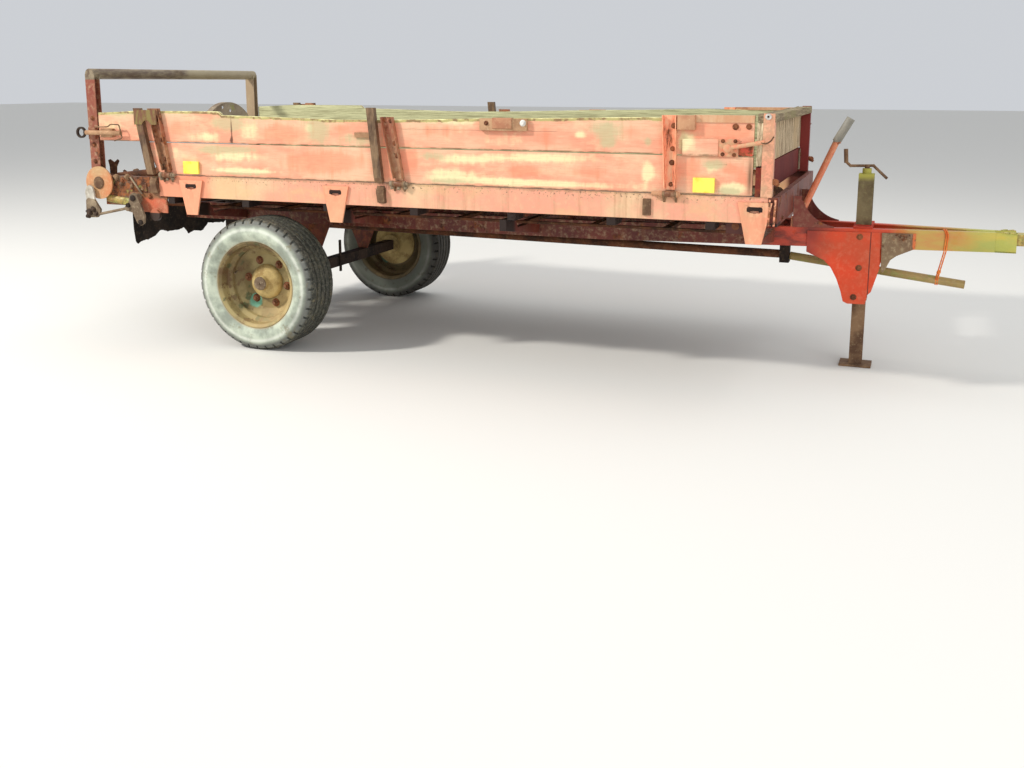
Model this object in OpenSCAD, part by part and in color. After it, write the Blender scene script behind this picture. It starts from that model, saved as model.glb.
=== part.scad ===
// Trailed two-wheel manure spreader with timber drop sides.
// X points to the tow eye, Y to the left side, Z up from the ground.
// Lengths along X below are measured from the wheel axle.

/* [Wheels] */
// Outer radius of the tyre
tyre_r = 410; // [400:1:420]
// Width of the tyre over its sidewalls
tyre_w = 310; // [290:1:320]
// Distance from the centreline to the outer sidewall
wheel_outer_y = 1048; // [1040:1:1070]
// Radius of the rim flange
rim_flange_r = 269; // [255:1:285]
// Width of the rim over its flanges
rim_w = 270; // [256:1:276]
// Radius at the bottom of the rim's well
rim_well_r = 228; // [218:1:236]
// Thickness of the rim's sheet steel
rim_t = 6; // [4:0.5:8]
// Radius of the hub's dome
hub_r = 108; // [95:1:112]
// Radius of the stub axle
stub_r = 25; // [20:1:30]
// Number of wheel studs
stud_count = 6; // [4:1:8]

/* [Axle and chassis] */
// Side of the square axle beam
axle_side = 70; // [60:1:90]
// Top of the chassis beams above the ground
beam_top_z = 820; // [790:1:850]
// Height of a chassis beam
beam_h = 110; // [90:1:130]
// Width of a beam's flanges
beam_flange = 50; // [40:1:65]
// Thickness of the beams' steel
beam_t = 7; // [5:0.5:10]
// Distance from the centreline to a beam's outer face
beam_half_w = 360; // [320:1:400]
// Rear end of the beams, behind the axle
beam_rear = 1000; // [900:5:1100]
// Where the beams start to converge, ahead of the axle
beam_bend_x = 2000; // [1900:5:2100]
// Where the converged beams end, ahead of the axle
beam_front_x = 4200; // [4100:5:4300]
// Distance from the centreline to the outer face at the front end
beam_front_half_w = 62; // [58:1:80]

/* [Body] */
// Width of the body over its planks
body_w = 1830; // [1780:1:1880]
// Rear end of the drop sides, behind the axle
body_rear = 1215; // [1180:1:1260]
// Front end of the drop sides, ahead of the axle
body_front = 2980; // [2900:1:3000]
// Bottom of the steel sill above the ground
sill_bottom_z = 920; // [900:1:940]
// Height of the sill
sill_h = 137; // [120:1:150]
// Width of the sill's flanges
sill_flange = 45; // [35:1:55]
// Thickness of the sill's steel
sill_t = 5; // [4:0.5:8]
// Rear end of the sill, behind the axle
sill_rear = 765; // [740:1:790]
// Front end of the sill, ahead of the axle
sill_front = 3065; // [3055:1:3075]
// Height of the middle plank
plank_mid_h = 202; // [180:1:220]
// Height of the top plank
plank_top_h = 187; // [170:1:200]
// Thickness of the planks
plank_t = 28; // [22:1:35]
// Gap between planks
plank_gap = 4; // [3:0.5:6]
// Rear end of the broken middle plank on the right side, behind the axle
broken_rear = 838; // [830:1:850]

/* [Hinges of the drop sides] */
// Distance from the planks' outer face to the hinge axis
hinge_out = 18; // [17:0.5:22]
// Radius of the hinge pin
hinge_pin_r = 9; // [7:0.5:10]
// Outer radius of a hinge knuckle
knuckle_r = 16; // [14:0.5:17]
// Length of a moving knuckle
knuckle_len = 50; // [40:1:60]
// Thickness of a hinge ear
ear_t = 12; // [8:1:14]
// Depth of the channel straps and of the stakes
stake_t = 32; // [26:1:36]
// Thickness of the straps' steel
strap_t = 5; // [4:0.5:8]

/* [Rear frame and beater] */
// Top of the rear hoop's cross tube above the ground
hoop_top_z = 1725; // [1700:1:1760]
// Radius of the hoop's cross tube
hoop_tube_r = 34; // [26:1:36]
// Front face of the hoop posts, behind the axle
post_front = 1232; // [1222:1:1250]
// Depth of a hoop post along the body
post_depth = 74; // [60:1:80]
// Width of a hoop post across the body
post_w = 50; // [40:1:60]
// Rear reach of the side latches, behind the axle
latch_back = 1366; // [1350:1:1400]
// Centre of the beater shaft, behind the axle
beater_back = 1228; // [1218:1:1236]
// Height of the beater shaft above the ground
beater_z = 993; // [985:1:1000]
// Radius of the beater drum
drum_r = 52; // [45:1:60]
// Radius of the beater over its blade tips
blade_r = 150; // [130:1:155]
// Number of blades along the drum
blade_count = 14; // [10:1:18]
// Radius of the beater's shaft ends
beater_shaft_r = 20; // [16:1:24]
// Radius of the crank disc
disc_r = 106; // [90:1:110]

/* [Conveyor] */
// Thickness of the floor boards
floor_t = 30; // [24:1:36]
// Number of floor boards across the body
board_count = 9; // [7:1:11]
// Radius of the chain line on the sprockets
sprocket_r = 58; // [54:1:60]
// Centre of the rear conveyor shaft, behind the axle
conveyor_back = 930; // [920:1:940]
// Centre of the front conveyor shaft, ahead of the axle
conveyor_front = 2900; // [2870:1:2925]
// Radius of the conveyor shafts
conveyor_shaft_r = 20; // [16:1:24]
// Distance of each chain from the centreline
chain_y = 700; // [640:5:740]
// Distance between the conveyor slats
slat_pitch = 420; // [300:10:500]
// Pitch of the chains' links
link_pitch = 105; // [90:1:140]

/* [Headboard] */
// Rear face of the front crossmember, ahead of the axle
head_x = 3085; // [3080:1:3095]
// Thickness of the headboard planks
head_t = 30; // [24:1:34]
// Width of a corner post across the body
corner_w = 50; // [40:1:60]
// Depth of a corner post along the body
corner_depth = 58; // [50:1:64]
// Top of the headboard above the ground
head_top_z = 1484; // [1470:1:1500]

/* [Drawbar, jack and drive] */
// Centre of the tow eye, ahead of the axle
eye_x = 4470; // [4420:1:4520]
// Radius of the tow eye's bore
eye_bore_r = 25; // [20:0.5:30]
// Outer radius of the tow eye
eye_r = 52; // [48:1:60]
// Thickness of the tow eye
eye_t = 34; // [28:1:40]
// Centre of the jack, ahead of the axle
jack_x = 3500; // [3480:1:3515]
// Distance of the jack to the right of the centreline
jack_out = 50; // [45:1:55]
// Side of the jack's square outer tube
jack_side = 84; // [76:1:90]
// Wall of the jack's outer tube
jack_wall = 5; // [4:0.5:6]
// Top of the jack's outer tube above the ground
jack_top_z = 1126; // [1100:1:1150]
// Bottom of the leg bracket above the ground
leg_bracket_z = 385; // [370:1:420]
// Distance of the drive line to the left of the centreline
drive_out = 60; // [50:1:70]
// Radius of the drive tube under the floor
drive_r = 25; // [20:1:30]
// Front end of the drive shaft, ahead of the axle
shaft_end_x = 4065; // [4000:5:4120]

/* [Hidden] */
$fn = 48;

// Clearances
running_gap = 0.05;
moving_gap = 5;
seat_gap = 0.3;
end_gap = 0.5;

// Places worked out from the sizes above
wheel_z = tyre_r;
wheel_mid_y = wheel_outer_y - tyre_w / 2;
dish_y = 176;
body_half = body_w / 2;
sill_top_z = sill_bottom_z + sill_h;
plank_mid_z = sill_top_z + plank_gap;
plank_top_z = plank_mid_z + plank_mid_h + plank_gap;
side_top_z = plank_top_z + plank_top_h;
hinge_y = body_half + hinge_out;
hinge_z = sill_top_z + plank_gap / 2;
floor_top_z = sill_bottom_z + floor_t;
beam_bottom_z = beam_top_z - beam_h;
chain_h = 14;
conveyor_z = floor_top_z + seat_gap + chain_h / 2 - sprocket_r;
rear_reach = latch_back;
front_reach = eye_x + eye_r;
frame_shift = (rear_reach - front_reach) / 2;
beam_angle = atan((beam_half_w - beam_front_half_w) / (beam_front_x - beam_bend_x));

// Places along the body of what repeats, ahead of the axle
// Hinge of each strap, how far its top leans forward, and its top above the planks
straps = [[-685, -75, 22], [957, -69, -12], [2555, -12, 17]];
// Foot of each stake, how far its top leans forward, and its top above the planks
stakes = [[-810, -74, 23], [828, -43, 40]];
hinge_xs = [for (row = straps) row[0]];
bracket_xs = [-512, 530, 3000];
outrigger_xs = [-512, 530, 1600, 3000];
bearer_xs = [-680, -120, 460, 1040, 1650, 2230, 2770];

// Moves what is measured from the axle to the middle of the machine
module place() {
    translate([frame_shift, 0, 0]) children();
}

// A box between two corners
module block(low, high) {
    translate(low) cube(high - low);
}

// A bar along Y between two places
module bar_y(radius, from_y, to_y) {
    translate([0, from_y, 0]) rotate([-90, 0, 0]) cylinder(r = radius, h = to_y - from_y);
}

// A bar along X between two places
module bar_x(radius, from_x, to_x) {
    translate([from_x, 0, 0]) rotate([0, 90, 0]) cylinder(r = radius, h = to_x - from_x);
}

// The same piece on the right side and, mirrored, on the left
module both_sides() {
    children();
    mirror([0, 1, 0]) children();
}

// A round rod between two points
module rod(from, to, radius) {
    run = to - from;
    length = norm(run);
    translate(from)
        rotate([0, acos(run[2] / length), atan2(run[1], run[0])])
            cylinder(r = radius, h = length);
}

// Chassis

// The plan of a strip of some width along the right beam, from its outer edge inward
module beam_strip(width) {
    polygon([
        [-beam_rear, -beam_half_w],
        [beam_bend_x, -beam_half_w],
        [beam_front_x, -beam_front_half_w],
        [beam_front_x, -beam_front_half_w + width / cos(beam_angle)],
        [beam_bend_x - width * tan(beam_angle / 2), -beam_half_w + width],
        [-beam_rear, -beam_half_w + width]
    ]);
}

module chassis_beams() {
    color("firebrick") place() both_sides() translate([0, 0, beam_bottom_z]) {
        linear_extrude(beam_h) beam_strip(beam_t);
        for (z = [0, beam_h - beam_t]) translate([0, 0, z]) linear_extrude(beam_t) beam_strip(beam_flange);
    }
}

// Stands at the right beam's bend and looks along its converging part
module along_right_beam() {
    translate([beam_bend_x, -beam_half_w, beam_top_z]) rotate([0, 0, beam_angle]) children();
}

// The tongue's plate between the ends of the beams
tongue_back_x = beam_front_x - 150;
tongue_half_w = beam_front_half_w - beam_t / cos(beam_angle) - running_gap;
tongue_top_z = beam_top_z - beam_t;
tongue_h = 62;
shank_back_x = eye_x - eye_r - 24;
module tow_tongue() {
    color("peru") place()
        block([tongue_back_x, -tongue_half_w, tongue_top_z - tongue_h], [shank_back_x, tongue_half_w, tongue_top_z]);
}

module tow_eye() {
    color("peru") place() translate([eye_x, 0, tongue_top_z - tongue_h / 2 - eye_t / 2]) difference() {
        union() {
            cylinder(r = eye_r, h = eye_t);
            block([shank_back_x - eye_x, -30, 0], [-eye_bore_r - 10, 30, eye_t]);
        }
        translate([0, 0, -1]) cylinder(r = eye_bore_r, h = eye_t + 2);
    }
}

axle_half = wheel_outer_y - dish_y - 104;
stub_end_y = wheel_outer_y - 130;
module axle_beam() {
    color("saddlebrown") place() {
        block([-axle_side / 2, -axle_half, wheel_z - axle_side / 2], [axle_side / 2, axle_half, wheel_z + axle_side / 2]);
        both_sides() translate([0, 0, wheel_z]) bar_y(stub_r, -stub_end_y, -axle_half + 1);
    }
}

// A triangular stand that carries a beam on the axle
module axle_brackets() {
    color("firebrick") place() both_sides()
        translate([0, -beam_half_w + beam_t, 0]) rotate([90, 0, 0]) linear_extrude(beam_t)
            polygon([
                [-axle_side / 2, wheel_z + axle_side / 2],
                [axle_side / 2, wheel_z + axle_side / 2],
                [150, beam_bottom_z],
                [-150, beam_bottom_z]
            ]);
}

module brake_lever() {
    color("dimgray") place() translate([axle_side / 2, -50, wheel_z])
        block([0, -10, -70], [12, 10, 150]);
}

// Half the width over the beams' outer faces at a place along the machine
function beams_half(x) = beam_half_w - max(0, x - beam_bend_x) * tan(beam_angle);

// What is left free beside a slanting web
function slant_gap(x) = x > beam_bend_x ? 0.1 : 0;

// Half the width between the webs' inner faces
function beams_inner(x) = beams_half(x) - (x > beam_bend_x ? beam_t / cos(beam_angle) : beam_t) - slant_gap(x);

// Crossmembers on the level of the beams, which rise outside the conveyor to the sill brackets
outrigger_w = 40;
outrigger_low_z = beam_bottom_z + 20;
outrigger_high_z = beam_top_z - beam_t - 3;
outrigger_end_top_z = sill_bottom_z - 45;
module outrigger() {
    for (x = outrigger_xs) translate([x - outrigger_w / 2, 0, 0]) {
        inner = beams_inner(x + outrigger_w / 2);
        outer = beams_half(x - outrigger_w / 2) + slant_gap(x);
        block([0, -inner, outrigger_low_z], [outrigger_w, inner, outrigger_high_z]);
        both_sides() rotate([90, 0, 90]) linear_extrude(outrigger_w) polygon([
            [-outer, outrigger_low_z],
            [-outer, outrigger_high_z],
            [-chain_y - 25, outrigger_high_z],
            [-chain_y - 70, outrigger_end_top_z],
            [-body_half, outrigger_end_top_z],
            [-body_half, bracket_bottom_z]
        ]);
    }
}

// Upper crossmembers under the floor boards, between the sills
bearer_h = 45;
module floor_bearers() {
    for (x = bearer_xs)
        block([x - 25, -body_half + sill_t, sill_bottom_z - bearer_h], [x + 25, body_half - sill_t, sill_bottom_z]);
}

module crossmembers() {
    color("brown") place() {
        outrigger();
        floor_bearers();
    }
}

// Body

module sills() {
    color("salmon") place() both_sides()
        translate([-sill_rear, -body_half, sill_top_z])
            rotate([90, 0, 90]) linear_extrude(sill_rear + sill_front) difference() {
                translate([0, -sill_h]) square([sill_flange, sill_h]);
                translate([sill_t, -sill_h + sill_t]) square([sill_flange, sill_h - 2 * sill_t]);
            }
}

// A tapered pressed bracket with a slot, from the sill down to an outrigger
bracket_top_w = 178;
bracket_bottom_w = 82;
bracket_t = 12;
bracket_skin = 4;
bracket_top_z = sill_top_z - 26;
bracket_bottom_z = beam_top_z - 8;
module bracket_outline(inset) {
    polygon([
        [-bracket_bottom_w / 2 + inset, bracket_bottom_z + inset],
        [bracket_bottom_w / 2 - inset, bracket_bottom_z + inset],
        [bracket_top_w / 2 - inset, bracket_top_z - inset],
        [-bracket_top_w / 2 + inset, bracket_top_z - inset]
    ]);
}
module sill_brackets() {
    color("lightsalmon") place() both_sides() for (x = bracket_xs)
        translate([x, -body_half, 0]) rotate([90, 0, 0]) difference() {
            linear_extrude(bracket_t) bracket_outline(0);
            translate([0, 0, -1]) linear_extrude(bracket_t - bracket_skin + 1) bracket_outline(bracket_skin);
            linear_extrude(bracket_t + 1) translate([0, bracket_top_z - 55]) {
                translate([-28, 0]) square([56, 12]);
                translate([0, 12]) circle(r = 16);
            }
        }
}

pocket_t = 10;
pocket_w = 44;
// Place along the body, and how far inside the planks' face the pocket's back lies
pockets = [[-803, 6], [843, 0], [2430, 0]];
module stake_pockets() {
    color("saddlebrown") place() both_sides() for (row = pockets)
        block([row[0] - pocket_w / 2, -body_half - pocket_t, sill_top_z - 118],
            [row[0] + pocket_w / 2, -body_half + row[1], sill_top_z - 28]);
}

// A fixed pair of ears on the sill, with the pin that the drop side turns on
ear_mid = knuckle_len / 2 + end_gap + ear_t / 2;
module hinge_ears() {
    color("gray") place() both_sides() for (x = hinge_xs) {
        translate([x, 0, 0]) {
            for (side = [-1, 1]) translate([side * ear_mid, 0, 0]) rotate([90, 0, 90])
                translate([0, 0, -ear_t / 2]) linear_extrude(ear_t) union() {
                    translate([-hinge_y, hinge_z]) circle(r = knuckle_r);
                    polygon([
                        [-hinge_y, hinge_z + knuckle_r],
                        [-body_half, hinge_z + knuckle_r - plank_gap - 20],
                        [-body_half, hinge_z - 46],
                        [-hinge_y - knuckle_r * 0.94, hinge_z - knuckle_r * 0.34]
                    ]);
                }
            translate([0, -hinge_y, hinge_z]) bar_x(hinge_pin_r, -ear_mid, ear_mid);
        }
    }
}

board_span = body_w - 2 * sill_flange - 2;
board_w = board_span / board_count;
floor_front = conveyor_front - sprocket_r - 20;
module floor_boards() {
    color("tan") place() {
        for (i = [0 : board_count - 1])
            block([-sill_rear, -board_span / 2 + i * board_w, sill_bottom_z],
                [floor_front, -board_span / 2 + (i + 1) * board_w - 3, floor_top_z]);
        block([conveyor_front + sprocket_r + 30, -board_span / 2, sill_bottom_z], [head_x, board_span / 2, floor_top_z]);
    }
}

// Headboard

cap_h = 46;
corner_back = head_x - 3 - corner_depth;
corner_skin = 5;
board_split_z = 1215;
module headboard_boards() {
    color("tan") place() {
        for (z = [[sill_top_z + 0.5, board_split_z - 2], [board_split_z + 2, head_top_z - cap_h]])
            block([corner_back - head_t, -body_half, z[0]], [corner_back, body_half, z[1]]);
        block([corner_back - head_t, -body_half + corner_skin, head_top_z - cap_h],
            [head_x + 3, body_half - corner_skin, head_top_z]);
    }
}

// Flat cleats with a bolt hole, which hold the lower board beside the posts
cleat_t = 8;
module headboard_cleats() {
    color("gray") place() both_sides() translate([corner_back, -body_half + corner_w + 8, 0])
        rotate([90, 0, 90]) linear_extrude(cleat_t) difference() {
            translate([0, sill_top_z + 14]) square([52, 136]);
            translate([26, board_split_z - 46]) circle(r = 9);
        }
}

// The deep front crossmember between the sills
module front_crossmember() {
    color("brown") place() {
        block([head_x, -body_half, sill_bottom_z - 14], [head_x + head_t, body_half, sill_top_z]);
        both_sides() block([sill_front, -body_half, sill_bottom_z], [head_x, -body_half + sill_flange, sill_top_z]);
    }
}

// Hollow-edged plates that brace the crossmember on the beams
module front_braces() {
    foot = along(head_x + head_t) + 3;
    color("brown") place() both_sides() along_right_beam() translate([0, leg_plate_t + 0.5, 0])
        rotate([90, 0, 0]) linear_extrude(leg_plate_t) difference() {
            translate([foot, 0]) square([230, 180]);
            translate([foot + 262, 226]) circle(r = 222);
            translate([foot + 45, 150]) square([200, 40]);
        }
}

// Posts with a skin on the outside that covers the ends of the headboard's cap
module corner_posts() {
    color("lightpink") place() both_sides() {
        block([corner_back, -body_half, sill_top_z], [corner_back + corner_depth, -body_half + corner_w, head_top_z - cap_h]);
        block([corner_back, -body_half, sill_top_z], [corner_back + corner_depth, -body_half + corner_skin, head_top_z]);
    }
}

// Rear frame

arm_top_z = beater_z + 45;
arm_bottom_z = beater_z - 55;
arm_t = 50;
arm_skin = 6;
apron_low_z = 850;
// Bearing arms of the beater, each with an apron below and a slanting plate on its outer face
module bearing_arms() {
    color("brown") place() both_sides() difference() {
        union() {
            block([-beater_back - 62, -body_half + 6, arm_bottom_z], [-sill_rear, -body_half + 6 + arm_t, arm_top_z]);
            block([-beater_back + 26, -body_half + 6, apron_low_z], [-rear_plate_back, -body_half + 18, arm_bottom_z + 1]);
            block([-beater_back + 26, -body_half + 6, apron_low_z], [-rear_plate_back, -body_half + 46, apron_low_z + 12]);
            translate([0, -body_half + 6 + arm_skin, 0]) rotate([90, 0, 0]) linear_extrude(2 * arm_skin) polygon([
                [-1004, arm_top_z - 2], [-988, arm_top_z + 12], [-868, arm_top_z - 40], [-866, arm_bottom_z + 2],
                [-890, arm_bottom_z + 2]
            ]);
        }
        translate([-beater_back, 0, beater_z]) bar_y(beater_shaft_r + running_gap, -body_half, -body_half + 70);
    }
}

post_wall = 6;
module hoop() {
    post_low_z = arm_top_z;
    hoop_mid_z = hoop_top_z - hoop_tube_r;
    color("firebrick") place() {
        both_sides() translate([-post_front - post_depth, -body_half + 6, post_low_z]) {
            linear_extrude(hoop_mid_z - post_low_z) difference() {
                square([post_depth, post_w]);
                translate([post_wall, post_wall]) square([post_depth, post_w - 2 * post_wall]);
            }
            cube([post_depth, post_w, post_wall]);
        }
        translate([-post_front - post_depth / 2, 0, hoop_mid_z]) bar_y(hoop_tube_r, -body_half + 6, body_half - 6);
        both_sides() block([-post_front - 60, -body_half - 15, 1275], [-post_front - 8, -body_half + 7, 1350]);
    }
}

// A domed sheet guard on the inner face of the left post, its face towards the load
guard_t = 4;
guard_depth = 50;
guard_in_y = 200;
guard_top_z = hoop_top_z - 239;
guard_low_z = guard_top_z - 208;
module rear_guard() {
    outer_y = body_half - 6 - post_w;
    half = (outer_y - guard_in_y) / 2;
    rise = guard_top_z - guard_low_z;
    radius = (half * half + rise * rise) / (2 * rise);
    color("tan") place() translate([-post_front - 10 - guard_depth, guard_in_y + half, guard_top_z - radius])
        rotate([90, 0, 90]) difference() {
            linear_extrude(guard_depth) guard_outline(radius, rise, half);
            translate([0, 0, -1]) linear_extrude(guard_depth - guard_t + 1) guard_outline(radius - guard_t, rise, half + 1);
            for (hole = [[-75, 38], [20, 66]]) translate([hole[0], radius - hole[1], 0]) cylinder(r = 11, h = guard_depth + 1);
        }
}

// The part of a circle above a level, no wider than the guard
module guard_outline(radius, rise, half) {
    intersection() {
        circle(r = radius);
        translate([-half, radius - rise]) square([2 * half, rise + 1]);
    }
}

gearbox_front = 700;
module rear_gearbox() {
    color("dimgray") place() {
        block([-beam_rear + 40, -beam_half_w + beam_t, beam_top_z - 80], [-beam_rear + 100, beam_half_w - beam_t, beam_top_z - 20]);
        block([-beam_rear + 99, drive_out - 110, 590], [-gearbox_front, drive_out + 90, beam_top_z - 15]);
    }
}

// A sheet that hangs across under the rear end
rear_plate_back = 1006;
module rear_sheet() {
    color("black") place()
        block([-rear_plate_back, -body_half + 6 + plate_t, 590], [-rear_plate_back + 4, body_half - 6 - plate_t, 838]);
}

// Conveyor

rear_shaft_half = body_half + 6;
front_shaft_half = body_half - 21;
plate_t = 10;
module conveyor_shafts() {
    color("gray") place() {
        for (y = [-chain_y, chain_y], x = [-conveyor_back, conveyor_front]) translate([x, y, conveyor_z])
            bar_y(sprocket_r - chain_h / 2 - seat_gap, -14, 14);
        translate([-conveyor_back, 0, conveyor_z]) bar_y(conveyor_shaft_r, -rear_shaft_half, rear_shaft_half);
        translate([conveyor_front, 0, conveyor_z]) bar_y(conveyor_shaft_r, -front_shaft_half, front_shaft_half);
    }
}

chain_w = 26;
link_wall = 7;
slat_half = chain_y - chain_w / 2 + 1;
slat_w = 40;
slat_h = 20;
run_len = conveyor_front + conveyor_back;
slat_n = floor((run_len - 100) / slat_pitch);
link_n = floor(run_len / link_pitch);
// One straight run of a chain, its links as openings in a row
module chain_run() {
    linear_extrude(chain_h) translate([-conveyor_back, -chain_w / 2]) difference() {
        square([run_len, chain_w]);
        for (i = [0 : link_n - 1]) translate([(i + 0.5) * run_len / link_n, chain_w / 2])
            translate([-link_pitch / 2 + 9, link_wall - chain_w / 2]) square([link_pitch - 22, chain_w - 2 * link_wall]);
    }
}

// The half turn of a chain round the front or rear sprocket
module chain_turn(x, side) {
    translate([x, chain_w / 2, conveyor_z]) rotate([90, 0, 0]) linear_extrude(chain_w) intersection() {
        difference() {
            circle(r = sprocket_r + chain_h / 2);
            circle(r = sprocket_r - chain_h / 2);
        }
        translate([side > 0 ? 0 : -2 * sprocket_r, -2 * sprocket_r]) square([2 * sprocket_r, 4 * sprocket_r]);
    }
}

// A slat of angle section across the two chains, at the origin
module slat() {
    block([0, -slat_half, 0], [slat_w, slat_half, 5]);
    block([slat_w - 5, -slat_half, 0], [slat_w, slat_half, slat_h]);
}

module conveyor() {
    color("saddlebrown") place() {
        for (y = [-chain_y, chain_y]) translate([0, y, 0]) {
            for (low = [conveyor_z + sprocket_r - chain_h / 2, conveyor_z - sprocket_r - chain_h / 2])
                translate([0, 0, low]) chain_run();
            chain_turn(conveyor_front, 1);
            chain_turn(-conveyor_back, -1);
        }
        for (i = [0 : slat_n]) translate([-conveyor_back + 40 + i * slat_pitch, 0, conveyor_z]) {
            translate([0, 0, sprocket_r - chain_h / 2]) slat();
            mirror([0, 0, 1]) translate([0, 0, sprocket_r - chain_h / 2]) slat();
        }
    }
}

plate_low_z = 812;
// Plates that carry the conveyor shafts, behind the sills and under them in front
module shaft_plates() {
    color("orangered") place() both_sides() {
        difference() {
            union() {
                block([-rear_plate_back, -body_half + 6, plate_low_z], [-sill_rear, -body_half + 6 + plate_t, arm_bottom_z]);
                block([-sill_rear - 1, -body_half + 6, plate_low_z], [-sill_rear + 50, -body_half + 6 + plate_t, sill_bottom_z - 8]);
                translate([-806, 0, plate_low_z - 14]) bar_y(38, -body_half - 10, -body_half + 6 + plate_t);
            }
            translate([-conveyor_back, 0, conveyor_z]) bar_y(conveyor_shaft_r + seat_gap, -body_half, -body_half + 30);
        }
        difference() {
            block([conveyor_front - 50, -body_half + 22, conveyor_z - 40],
                [conveyor_front + 50, -body_half + 22 + plate_t, sill_bottom_z]);
            translate([conveyor_front, 0, conveyor_z]) bar_y(conveyor_shaft_r + seat_gap, -body_half, -body_half + 60);
        }
    }
}

// The feed's rod and ratchet arm, open at the crank pin
linkage_y = -body_half - 45;
rod_from = [-1240, 786];
rod_to = [-982, 840];
module feed_linkage() {
    color("dimgray") place() {
        rod([rod_from[0], linkage_y, rod_from[1]], [rod_to[0], linkage_y, rod_to[1]], 9);
        translate([0, linkage_y + 8, 0]) rotate([90, 0, 0]) {
            linear_extrude(16) polygon([[-1318, 880], [-1300, 893], [-1252, 886], [-1206, 822], [-1212, 790], [-1236, 768],
                [-1300, 766], [-1322, 784]]);
            linear_extrude(16) polygon([[-972, 880], [-962, 925], [-935, 940], [-905, 928], [-894, 900], [-853, 792],
                [-858, 748], [-885, 729], [-914, 746], [-945, 812], [-988, 822], [-998, 842], [-985, 862]]);
        }
        translate([rod_to[0], 0, rod_to[1]]) bar_y(19, linkage_y - 14, linkage_y + 10);
        translate([-conveyor_back, 0, conveyor_z]) bar_y(32, linkage_y, -rear_shaft_half);
    }
}

// Drive

module drive_tube() {
    color("saddlebrown") place() rod([-gearbox_front + 0.5, drive_out, 655], [hanger_x - 0.5, drive_out, 618], drive_r);
}

hanger_x = 3024;
hanger_len = 56;
module drive_hanger() {
    color("dimgray") place() {
        block([hanger_x, drive_out - 38, 570], [hanger_x + hanger_len, drive_out + 38, beam_bottom_z + 21]);
        block([hanger_x, -beams_inner(hanger_x + hanger_len), beam_bottom_z + beam_t],
            [hanger_x + hanger_len, beams_inner(hanger_x + hanger_len), beam_bottom_z + 20]);
    }
}

module pto_shaft() {
    color("olive") place() rod([hanger_x + hanger_len + 3, drive_out, 610], [shaft_end_x, drive_out, 497], 24);
}

// Leg and jack

// Distance along the converging part of a beam to a place along the machine
function along(x) = (x - beam_bend_x) / cos(beam_angle);

leg_plate_t = 8;
leg_top_z = beam_top_z - 18;
module beside_beams(thick, points) {
    both_sides() along_right_beam() translate([0, -running_gap, 0]) rotate([90, 0, 0]) linear_extrude(thick)
        polygon([for (p = points) [along(p[0]), p[1] - beam_top_z]]);
}

// Leg plates with a concave rear edge, and a thinner strip along their front edge
module leg_plates() {
    color("orangered") place() {
        beside_beams(leg_plate_t, [
            [jack_x - 300, leg_top_z], [jack_x - 300, beam_bottom_z - 30], [jack_x - 200, beam_bottom_z - 77],
            [jack_x - 160, leg_bracket_z + 205], [jack_x - 128, leg_bracket_z + 145],
            [jack_x - 102, leg_bracket_z + 75], [jack_x - 85, leg_bracket_z + 12], [jack_x - 60, leg_bracket_z],
            [jack_x + 36, leg_bracket_z], [jack_x + 46, leg_bracket_z + 46], [jack_x + 46, leg_top_z]
        ]);
        beside_beams(leg_plate_t / 2, [
            [jack_x + 40, leg_top_z], [jack_x + 40, leg_bracket_z + 46], [jack_x + 66, leg_bracket_z + 74],
            [jack_x + 104, leg_bracket_z + 213], [jack_x + 96, leg_top_z]
        ]);
    }
}

module drawbar_gussets() {
    gusset_x = jack_x + 104;
    color("gray") place() beside_beams(leg_plate_t, [
        [gusset_x, leg_top_z], [gusset_x + 6, beam_bottom_z - 120], [gusset_x + 14, beam_bottom_z - 138],
        [gusset_x + 28, beam_bottom_z - 122], [gusset_x + 54, beam_bottom_z - 63], [gusset_x + 86, beam_bottom_z - 38],
        [gusset_x + 121, beam_bottom_z - 22], [gusset_x + 182, beam_bottom_z + 6], [gusset_x + 182, leg_top_z]
    ]);
}

jack_bore = jack_side / 2 - jack_wall;
leg_half = jack_bore - end_gap;
jack_collar_r = 25;
jack_collar_h = 30;
crank_foot_r = 14;
module jack_tube() {
    color("rosybrown") place() translate([jack_x, -jack_out, 0]) difference() {
        union() {
            block([-jack_side / 2, -jack_side / 2, leg_bracket_z + 10], [jack_side / 2, jack_side / 2, jack_top_z]);
            block([-52, jack_out - beams_half(jack_x + 52), beam_top_z], [52, jack_out + beams_half(jack_x + 52), beam_top_z + 12]);
            block([-30, jack_out - beams_half(jack_x + 30) + 0.1, leg_bracket_z + 20],
                [30, jack_out + beams_half(jack_x + 30) - 0.1, leg_bracket_z + 60]);
            translate([0, 0, jack_top_z - 1]) cylinder(r = jack_collar_r, h = jack_collar_h + 1);
        }
        translate([0, 0, jack_top_z]) cylinder(r = crank_foot_r + seat_gap, h = jack_collar_h + 1);
        block([-jack_bore, -jack_bore, 0], [jack_bore, jack_bore, jack_top_z - 8]);
    }
}

module jack_leg() {
    color("saddlebrown") place() translate([jack_x, -jack_out, 0]) {
        block([-leg_half, -leg_half, 11], [leg_half, leg_half, 800]);
        block([-90, -75, 0], [90, 75, 12]);
    }
}

// Places of the crank's bends from the top of the jack, along the machine and up
crank_bends = [[-122, 132], [-117, 64], [-92, 42], [33, 46], [107, -22]];
crank_r = 8;
module jack_crank() {
    color("dimgray") place() translate([jack_x, -jack_out, jack_top_z]) {
        cylinder(r = crank_foot_r, h = 50);
        for (i = [0 : len(crank_bends) - 2]) {
            a = crank_bends[i];
            b = crank_bends[i + 1];
            lap = (b - a) / norm(b - a) * crank_r * 0.7;
            rod([a[0] - lap[0], 0, a[1] - lap[1]], [b[0] + lap[0], 0, b[1] + lap[1]], i == 0 ? crank_r + 4 : crank_r);
        }
    }
}

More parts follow.
